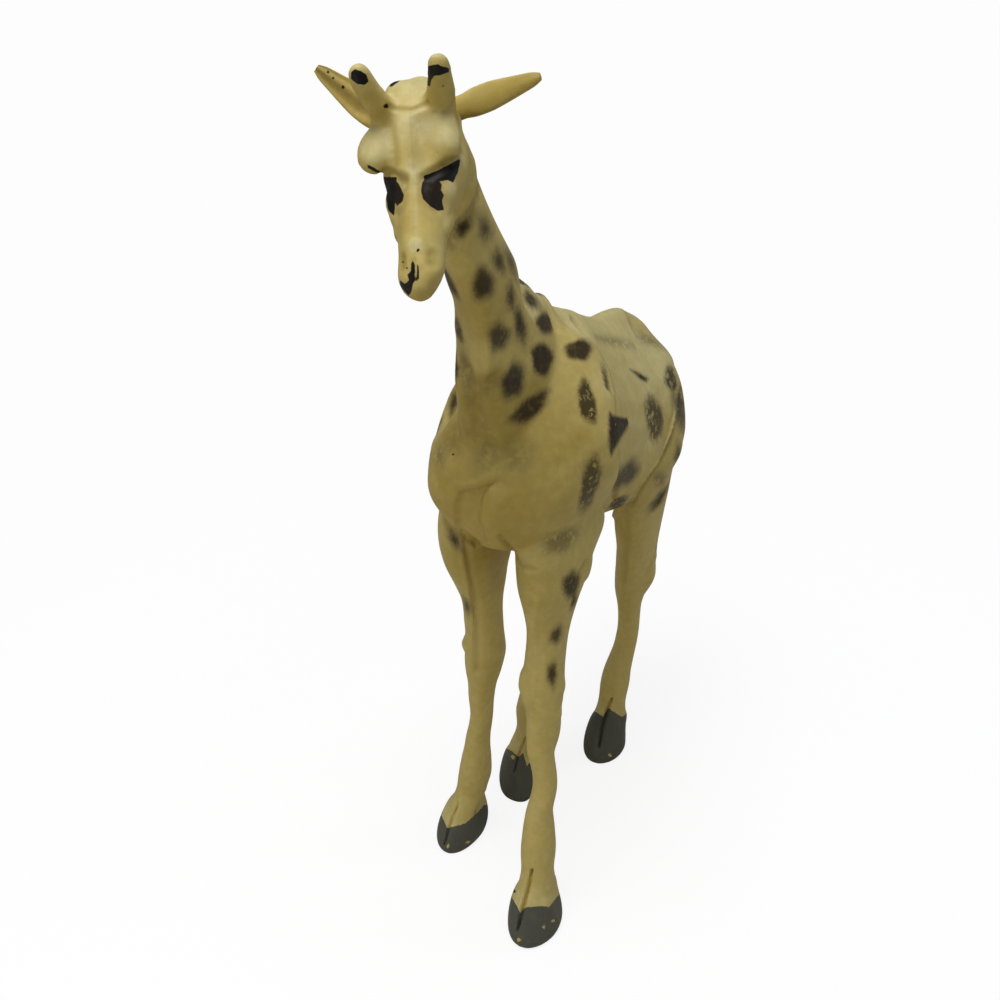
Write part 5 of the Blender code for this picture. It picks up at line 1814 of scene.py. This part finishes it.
def plastic_with_painted_light_group():
    """Plastic lighter on faces turned up and darker and yellower on faces turned down, as painted light and
    shade with some bleaching and ageing; cloudy, with dark specks, and with painted shade and dust in its
    folds.
    """
    tree, start, end = new_group(
        "Aged plastic with painted light",
        (
            ("Ivory", COLOUR),
            ("Bleached and lit", COLOUR),
            ("Yellowed and shaded", COLOUR),
            ("Grime and shade", COLOUR),
            ("Tint", FLOAT),
            ("Crease", FLOAT),
            ("Roughness", FLOAT),
        ),
        (("Color", COLOUR), ("Roughness", FLOAT), ("Height", FLOAT)),
    )
    normal = add_node(tree, "ShaderNodeNewGeometry").outputs["Normal"]
    upward = add_node(tree, "ShaderNodeSeparateXYZ", {"Vector": normal}).outputs["Z"]
    clouds = noise(tree, 9 * MM, 4, 0.6)
    patches = noise(tree, 2.6 * MM, 3, 0.6)
    drift = maths(tree, "MULTIPLY_ADD", clouds, 0.9, -0.45)
    # Painted shade darkens and yellows the colour, and painted light makes it lighter
    shade_shift = maths(tree, "MULTIPLY", start["Tint"], -0.8)
    light = maths(tree, "ADD", maths(tree, "ADD", upward, drift), shade_shift)
    # Painted light and shade: faces turned up take the lighter colour and faces turned down take the darker,
    # yellower one
    base = blend(tree, ramp(tree, light, 0.15, 0.95), start["Ivory"], start["Bleached and lit"])
    base = blend(tree, ramp(tree, light, 0.1, -0.9), base, start["Yellowed and shaded"])
    cloudy = blend(tree, ramp(tree, patches, 0.35, 0.75), (0.93, 0.93, 0.90, 1), (1.04, 1.04, 1.05, 1))
    base = blend(tree, 1.0, base, cloudy, "MULTIPLY")
    specks = ramp(tree, noise(tree, 0.55 * MM, 2, 0.6), 0.66, 0.74)
    base = blend(tree, maths(tree, "MULTIPLY", specks, 0.30), base, start["Grime and shade"])
    # Painted shade with some dust, darkening the folds in patches
    fold_shade_and_dust = maths(tree, "MULTIPLY", start["Crease"], ramp(tree, patches, 0.25, 0.65), clamp=True)
    base = blend(tree, maths(tree, "MULTIPLY", fold_shade_and_dust, 0.55), base, start["Grime and shade"])
    tree.links.new(base, end["Color"])
    rough = maths(tree, "MULTIPLY_ADD", patches, 0.16, start["Roughness"])
    rough = maths(tree, "MULTIPLY_ADD", fold_shade_and_dust, 0.15, rough)
    tree.links.new(maths(tree, "ADD", rough, -0.08), end["Roughness"])
    grain = noise(tree, 0.35 * MM, 2, 0.6)
    waves = noise(tree, 3.5 * MM, 2, 0.5)
    tree.links.new(maths(tree, "MULTIPLY_ADD", waves, 3.0, grain), end["Height"])
    return tree


def sprayed_spots_group():
    """Sprayed spots: a field in millimetres, softness, coldness and wear make a brown cloud."""
    tree, start, end = new_group(
        "Sprayed spots",
        (
            ("Color", COLOUR),
            ("Warm", COLOUR),
            ("Cold", COLOUR),
            ("Rim", COLOUR),
            ("Field", FLOAT),
            ("Soft", FLOAT),
            ("Coldness", FLOAT),
            ("Wear", FLOAT),
        ),
        (("Color", COLOUR), ("Mask", FLOAT)),
    )
    rim = maths(tree, "MULTIPLY_ADD", start["Soft"], 1.4, 0.5)
    mottle = maths(tree, "SUBTRACT", noise(tree, 1.1 * MM, 4, 0.7), 0.5)
    wander = maths(tree, "MULTIPLY", mottle, 1.3)
    field = maths(tree, "ADD", start["Field"], wander)
    spread = maths(tree, "DIVIDE", field, rim)
    mask = ramp(tree, spread, -1.0, 0.8)
    scuffs = ramp(tree, noise(tree, 2.4 * MM, 5, 0.7), 0.53, 0.60)
    scuffs = maths(tree, "MULTIPLY", scuffs, start["Wear"])
    mask = maths(tree, "MULTIPLY", mask, maths(tree, "MULTIPLY_ADD", scuffs, -0.75, 1.0))
    thick = maths(tree, "MULTIPLY_ADD", start["Soft"], -0.05, 0.98)
    faint = maths(tree, "MULTIPLY", start["Soft"], start["Wear"])
    thick = maths(tree, "MULTIPLY_ADD", faint, -0.35, thick)
    mask = maths(tree, "MULTIPLY", mask, thick, clamp=True)
    core = blend(tree, start["Coldness"], start["Warm"], start["Cold"])
    paint = blend(tree, ramp(tree, mask, 0.15, 0.7), start["Rim"], core)
    tree.links.new(blend(tree, mask, start["Color"], paint), end["Color"])
    tree.links.new(mask, end["Mask"])
    return tree


def brushed_paint_group():
    """Brushed paint with a crisp uneven edge and chips: a field in millimetres makes the coat."""
    tree, start, end = new_group(
        "Brushed paint",
        (
            ("Color", COLOUR),
            ("Paint", COLOUR),
            ("Worn paint", COLOUR),
            ("Field", FLOAT),
            ("Wander", FLOAT),
            ("Chips", FLOAT),
        ),
        (("Color", COLOUR), ("Mask", FLOAT)),
    )
    ragged = maths(tree, "SUBTRACT", noise(tree, 1.0 * MM, 4, 0.65), 0.5)
    field = maths(tree, "ADD", start["Field"], maths(tree, "MULTIPLY", ragged, start["Wander"]))
    coat = ramp(tree, field, -0.10, 0.10)
    flakes = noise(tree, 1.7 * MM, 4, 0.7)
    limit = maths(tree, "MULTIPLY_ADD", start["Chips"], -0.16, 0.80)
    chips = ramp(tree, maths(tree, "SUBTRACT", flakes, limit), 0.0, 0.02)
    coat = maths(tree, "MULTIPLY", coat, maths(tree, "SUBTRACT", 1.0, chips), clamp=True)
    thin = ramp(tree, noise(tree, 3.2 * MM, 5, 0.7), 0.50, 0.72)
    thin = maths(tree, "MULTIPLY", thin, start["Chips"])
    paint = blend(tree, thin, start["Paint"], start["Worn paint"])
    tree.links.new(blend(tree, coat, start["Color"], paint), end["Color"])
    tree.links.new(coat, end["Mask"])
    return tree


def effect(tree, maker, inputs):
    """Places a shared effect in a material with its own values."""
    name = maker.__name__
    if name not in made_before:
        made_before[name] = maker()
    made = tree.nodes.new("ShaderNodeGroup")
    made.node_tree = made_before[name]
    for label, value in inputs.items():
        if isinstance(value, bpy.types.NodeSocket):
            tree.links.new(value, made.inputs[label])
        else:
            made.inputs[label].default_value = value
    return made.outputs


def solid(value):
    """Colour with full alpha."""
    return (*value, 1.0)


def attribute(tree, name):
    """Number kept on the piece's points."""
    return add_node(tree, "ShaderNodeAttribute", attribute_name=name).outputs["Fac"]


def plastic_start(name, finish, painted_shade_and_ageing, crease):
    """New material with aged plastic and its painted light and shade, its tree and the plastic's outputs."""
    material = bpy.data.materials.new(name)
    material.use_nodes = True
    tree = material.node_tree
    values = {
        "Ivory": solid(finish.ivory),
        "Bleached and lit": solid(finish.bleached_and_lit),
        "Yellowed and shaded": solid(finish.deep),
        "Grime and shade": solid(finish.grime_and_shade),
        "Tint": painted_shade_and_ageing(tree),
        "Crease": crease(tree),
        "Roughness": finish.roughness,
    }
    return material, tree, effect(tree, plastic_with_painted_light_group, values)


def plastic_end(tree, color, roughness, height):
    """Feeds the shader of a plastic material."""
    shader = tree.nodes["Principled BSDF"]
    shader.inputs["IOR"].default_value = 1.5
    shader.inputs["Specular IOR Level"].default_value = 0.2
    shader.inputs["Coat Roughness"].default_value = 0.3
    shader.inputs["Coat Weight"].default_value = 0.06
    tree.links.new(color, shader.inputs["Base Color"])
    tree.links.new(roughness, shader.inputs["Roughness"])
    bump = add_node(tree, "ShaderNodeBump", {"Strength": 0.22, "Distance": 0.06 * MM, "Height": height})
    tree.links.new(bump.outputs["Normal"], shader.inputs["Normal"])


def shell_material(finish):
    """Ivory shells with sprayed spots, brushed hooves and the painted face."""
    material, tree, plastic = plastic_start(
        "ivory_shell", finish, lambda t: attribute(t, "painted_shade_and_ageing"), lambda t: attribute(t, "crease")
    )
    spots = effect(
        tree,
        sprayed_spots_group,
        {
            "Color": plastic["Color"],
            "Warm": solid(finish.spot_warm),
            "Cold": solid(finish.spot_cold),
            "Rim": solid(finish.spot_rim),
            "Field": attribute(tree, "spot"),
            "Soft": attribute(tree, "spot_soft"),
            "Coldness": attribute(tree, "spot_cold"),
            "Wear": attribute(tree, "spot_worn"),
        },
    )
    mane = effect(
        tree,
        sprayed_spots_group,
        {
            "Color": spots["Color"],
            "Warm": solid(finish.spot_cold),
            "Cold": solid(finish.spot_cold),
            "Rim": solid(finish.spot_rim),
            "Field": attribute(tree, "mane"),
            "Soft": 0.7,
            "Coldness": 0.4,
            "Wear": 0.5,
        },
    )
    hooves = effect(
        tree,
        brushed_paint_group,
        {
            "Color": mane["Color"],
            "Paint": solid(finish.hoof),
            "Worn paint": solid(finish.hoof_worn),
            "Field": attribute(tree, "hoof"),
            "Wander": 1.6,
            "Chips": 0.55,
        },
    )
    ink = blend(tree, attribute(tree, "mark_brown"), solid(finish.black), solid(finish.eye))
    marks = effect(
        tree,
        brushed_paint_group,
        {
            "Color": hooves["Color"],
            "Paint": ink,
            "Worn paint": solid(finish.grime_and_shade),
            "Field": attribute(tree, "mark"),
            "Wander": 0.25,
            "Chips": 0.1,
        },
    )
    paint = maths(tree, "MAXIMUM", hooves["Mask"], marks["Mask"])
    rough = maths(tree, "MULTIPLY_ADD", paint, 0.06, plastic["Roughness"])
    rough = maths(tree, "MULTIPLY_ADD", spots["Mask"], 0.10, rough)
    height = maths(tree, "MULTIPLY_ADD", paint, 0.8, plastic["Height"])
    plastic_end(tree, marks["Color"], rough, height)
    return material


def ear_material(finish):
    """Ivory ears with painted shade: darker and yellower all over and most in their hollows, with flecks of
    black.
    """
    material, tree, plastic = plastic_start(
        "ivory_ear", finish, lambda t: attribute(t, "painted_shade_and_ageing"), lambda t: attribute(t, "crease")
    )
    marks = effect(
        tree,
        brushed_paint_group,
        {
            "Color": plastic["Color"],
            "Paint": solid(finish.black),
            "Worn paint": solid(finish.grime_and_shade),
            "Field": attribute(tree, "mark"),
            "Wander": 0.5,
            "Chips": 0.1,
        },
    )
    height = maths(tree, "MULTIPLY_ADD", marks["Mask"], 0.8, plastic["Height"])
    plastic_end(tree, marks["Color"], plastic["Roughness"], height)
    return material


def tail_material(finish):
    """Ivory tail with a dark sprayed tuft."""
    material, tree, plastic = plastic_start(
        "ivory_tail", finish, lambda t: 0.2, lambda t: attribute(t, "crease")
    )
    tuft = effect(
        tree,
        sprayed_spots_group,
        {
            "Color": plastic["Color"],
            "Warm": solid(finish.spot_warm),
            "Cold": solid(finish.spot_cold),
            "Rim": solid(finish.spot_rim),
            "Field": attribute(tree, "tuft"),
            "Soft": 0.9,
            "Coldness": 0.4,
            "Wear": 0.4,
        },
    )
    rough = maths(tree, "MULTIPLY_ADD", tuft["Mask"], 0.10, plastic["Roughness"])
    plastic_end(tree, tuft["Color"], rough, plastic["Height"])
    return material


def dress(item, node, material):
    """Gives a finished piece its material and its place in the frame."""
    item.data.materials.clear()
    item.data.materials.append(material)
    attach(item, BODY)
    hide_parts(node)


# Operators


def shells_material(context):
    """Material of all moulded shells, made once."""
    if "shell_material" not in made_before:
        made_before["shell_material"] = shell_material(context.scene.giraffe_finish)
    return made_before["shell_material"]


def finish_shells(context, nodes):
    """Paints, turns and dresses some of the cut shells."""
    shells = shells_of(context)
    for node in nodes:
        item = shells[node]
        item.name = item.data.name = f"{node}_shell"
        paint_and_turn(skin_of(context), item)
        dress(item, node, shells_material(context))


class GIRAFFE_OT_body_halves(Operator):
    """Make the two halves of the body, with the outer shells of the legs"""

    bl_idname = "giraffe.body_halves"
    bl_label = "Body Halves"

    def execute(self, context):
        finish_shells(context, ("body_left_half", "body_right_half"))
        return {"FINISHED"}


class GIRAFFE_OT_leg_shells(Operator):
    """Make the inner shells of the four legs"""

    bl_idname = "giraffe.leg_shells"
    bl_label = "Leg Shells"

    def execute(self, context):
        finish_shells(context, [f"{leg}_inner" for leg in STEP_SHARES])
        return {"FINISHED"}


class GIRAFFE_OT_ears(Operator):
    """Make the two ears with their folds"""

    bl_idname = "giraffe.ears"
    bl_label = "Ears"

    def execute(self, context):
        skin = skin_of(context)
        material = ear_material(context.scene.giraffe_finish)
        for side, node in ((1, "ear_left"), (-1, "ear_right")):
            bm = bmesh.new()
            add_ear(bm, side)
            bmesh.ops.subdivide_edges(bm, edges=bm.edges, cuts=1, use_grid_fill=True)
            soften(bm, bm.verts, 3)
            item = object_from(bm, f"{node}_piece")
            surface = Surface(skin, item.data)
            root, aim, spread, face = ear_directions(side)
            offset = surface.straight - np.array(root)
            hollow = 1 - np.abs(offset @ np.array(spread)) / (ear_width(side) / 2)
            hollow *= surface.straight_normals @ np.array(face) > 0
            tip = ease(offset @ np.array(aim) / EAR_LENGTH)
            marks = mark_fields_of_ear(surface)
            # Painted shade: the whole ear darker and yellower, more in its hollow towards the tip, and
            # darkest in the middle of the hollow, most on the right ear
            store(item.data, "painted_shade_and_ageing", 1.1 + hollow * (0.3 + 0.6 * tip))
            store(item.data, "crease", np.maximum(0, hollow - 0.4) * (1 if side < 0 else 0.4))
            store(item.data, "mark", marks / MM)
            write(item.data, surface.final)
            item.data.shade_smooth()
            dress(item, node, material)
        return {"FINISHED"}


def mark_fields_of_ear(surface):
    """Flecks of black on an ear."""
    fields = empty_fields(len(surface.straight), ())
    for middle, size in SPECKS:
        gap = np.linalg.norm(surface.pixels - np.array(middle), axis=1)
        near = np.flatnonzero((gap < SPECK_REACH) & (surface.facing > 0))
        lay_on(fields, near, (size - gap[near]) / surface.scale[near])
    return fields["field"]


class GIRAFFE_OT_tail(Operator):
    """Make the tail with its tuft of strands"""

    bl_idname = "giraffe.tail"
    bl_label = "Tail"

    def execute(self, context):
        skin = skin_of(context)
        bm = bmesh.new()
        add_tail(bm)
        item = object_from(bm, "tail_piece")
        points = read(item.data, "co")
        down = (tail_root().z - points[:, 2]) / TAIL_LENGTH
        store(item.data, "tuft", (down - 0.58) * TAIL_TUFT_WIDTH / MM)
        store(item.data, "crease", ease((down - 0.5) * 4) * 0.6)
        write(item.data, points + skin.stand)
        item.data.shade_smooth()
        dress(item, "tail", tail_material(context.scene.giraffe_finish))
        return {"FINISHED"}


# The table shows plain white past these distances from its middle, and glows a little near it
SHADOW_START = 120 * MM
SHADOW_END = 350 * MM
TABLE_GLOW = 0.78
GLOW_STRENGTH = 1.12


def table_material(stage):
    """White table: plain white far off, with the figure's faint shadow close by."""
    material = bpy.data.materials.new("white_table")
    material.use_nodes = True
    tree = material.node_tree
    shader = tree.nodes["Principled BSDF"]
    shader.inputs["Roughness"].default_value = 0.9
    shader.inputs["Specular IOR Level"].default_value = 0.1
    path = add_node(tree, "ShaderNodeLightPath").outputs
    seen = maths(tree, "MAXIMUM", path["Is Camera Ray"], path["Is Transmission Ray"])
    tree.links.new(blend(tree, seen, solid(stage.bounce), solid(stage.table)), shader.inputs["Base Color"])
    place = add_node(tree, "ShaderNodeTexCoord").outputs["Object"]
    away = add_node(tree, "ShaderNodeVectorMath", {0: place}, operation="LENGTH").outputs["Value"]
    plain = ramp(tree, away, SHADOW_START, SHADOW_END)
    white = maths(tree, "MULTIPLY_ADD", plain, 1 - TABLE_GLOW, TABLE_GLOW)
    strength = maths(tree, "MULTIPLY_ADD", plain, 1 - GLOW_STRENGTH, GLOW_STRENGTH)
    shown = add_node(tree, "ShaderNodeEmission", {"Color": solid(stage.table), "Strength": strength})
    mix = add_node(tree, "ShaderNodeMixShader")
    tree.links.new(maths(tree, "MULTIPLY", seen, white), mix.inputs[0])
    tree.links.new(shader.outputs[0], mix.inputs[1])
    tree.links.new(shown.outputs[0], mix.inputs[2])
    tree.links.new(mix.outputs[0], tree.nodes["Material Output"].inputs["Surface"])
    return material


def light_world(stage):
    """Even white light, and the table's white where the camera looks past the table."""
    world = bpy.data.worlds.new("studio")
    bpy.context.scene.world = world
    world.use_nodes = True
    tree = world.node_tree
    path = add_node(tree, "ShaderNodeLightPath").outputs
    seen = maths(tree, "MAXIMUM", path["Is Camera Ray"], path["Is Transmission Ray"])
    strength = add_node(
        tree, "ShaderNodeMapRange", {"Value": seen, "To Min": stage.sky, "To Max": stage.table[0]}
    ).outputs["Result"]
    background = tree.nodes["Background"]
    background.inputs["Color"].default_value = (1, 1, 1, 1)
    tree.links.new(strength, background.inputs["Strength"])


def add_lamp(name, power, size, place, aim):
    """Large soft lamp pointed at the figure."""
    data = bpy.data.lights.new(name, "AREA")
    data.shape = "DISK"
    data.size = size
    data.energy = power
    lamp = bpy.data.objects.new(name, data)
    bpy.context.scene.collection.objects.link(lamp)
    lamp.location = place
    lamp.rotation_euler = (aim - place).to_track_quat("-Z", "Y").to_euler()
    return lamp


class GIRAFFE_OT_stage(Operator):
    """Set up the table, the lamps and the camera"""

    bl_idname = "giraffe.stage"
    bl_label = "Table, Lamps and Camera"

    def execute(self, context):
        stage = context.scene.giraffe_stage
        bm = bmesh.new()
        bmesh.ops.create_grid(bm, x_segments=1, y_segments=1, size=3)
        table = object_from(bm, "table")
        table.data.materials.append(table_material(stage))
        light_world(stage)
        aim = Vector((0, 0, (CAD_BOX[0][2] + CAD_BOX[1][2]) / 2))
        add_lamp("top_lamp", stage.top_lamp, 0.36, Vector((-0.02, -0.17, 0.80)), aim)
        rear = add_lamp("rear_lamp", stage.rear_lamp, 0.3, Vector((0.50, 0.34, 0.34)), aim)
        rear.data.color = stage.rear_tone
        add_lamp("front_lamp", stage.front_lamp, 0.4, Vector((-0.12, -0.64, 0.14)), aim / 2)
        view = View(stage)
        data = bpy.data.cameras.new("camera")
        data.sensor_width = SENSOR / MM
        data.lens = LENS / MM
        data.clip_start = 10 * MM
        camera = bpy.data.objects.new("camera", data)
        context.scene.collection.objects.link(camera)
        pose = Matrix((view.right, view.up, view.back)).transposed().to_4x4()
        camera.matrix_world = Matrix.Translation(view.eye) @ pose
        context.scene.camera = camera
        context.scene.view_settings.view_transform = "Standard"
        return {"FINISHED"}


OPERATORS = (
    GIRAFFE_OT_body_halves,
    GIRAFFE_OT_leg_shells,
    GIRAFFE_OT_ears,
    GIRAFFE_OT_tail,
    GIRAFFE_OT_stage,
)
SETTINGS = {
    "giraffe_shell": GiraffeShellSettings,
    "giraffe_finish": GiraffeFinishSettings,
    "giraffe_stage": GiraffeStageSettings,
}


class GIRAFFE_PT_panel(Panel):
    """Steps and settings of the toy giraffe"""

    bl_idname = "GIRAFFE_PT_panel"
    bl_label = "Toy Giraffe"
    bl_space_type = "VIEW_3D"
    bl_region_type = "UI"
    bl_category = "Giraffe"

    def draw(self, context):
        for operator in OPERATORS:
            self.layout.operator(operator.bl_idname)
        for name, group in SETTINGS.items():
            box = self.layout.box()
            for setting in group.__annotations__:
                box.prop(getattr(context.scene, name), setting)


def register():
    """Registers the settings, the operators and the panel."""
    for name, group in SETTINGS.items():
        bpy.utils.register_class(group)
        setattr(bpy.types.Scene, name, PointerProperty(type=group))
    for item in (*OPERATORS, GIRAFFE_PT_panel):
        bpy.utils.register_class(item)


def unregister():
    """Takes everything back out."""
    for item in (GIRAFFE_PT_panel, *reversed(OPERATORS)):
        bpy.utils.unregister_class(item)
    for name, group in SETTINGS.items():
        delattr(bpy.types.Scene, name)
        bpy.utils.unregister_class(group)


def main():
    """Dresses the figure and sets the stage."""
    register()
    bpy.ops.giraffe.body_halves()
    bpy.ops.giraffe.leg_shells()
    bpy.ops.giraffe.ears()
    bpy.ops.giraffe.tail()
    bpy.ops.giraffe.stage()
    discard(made_before["skin"].item)


if __name__ == "__main__":
    main()
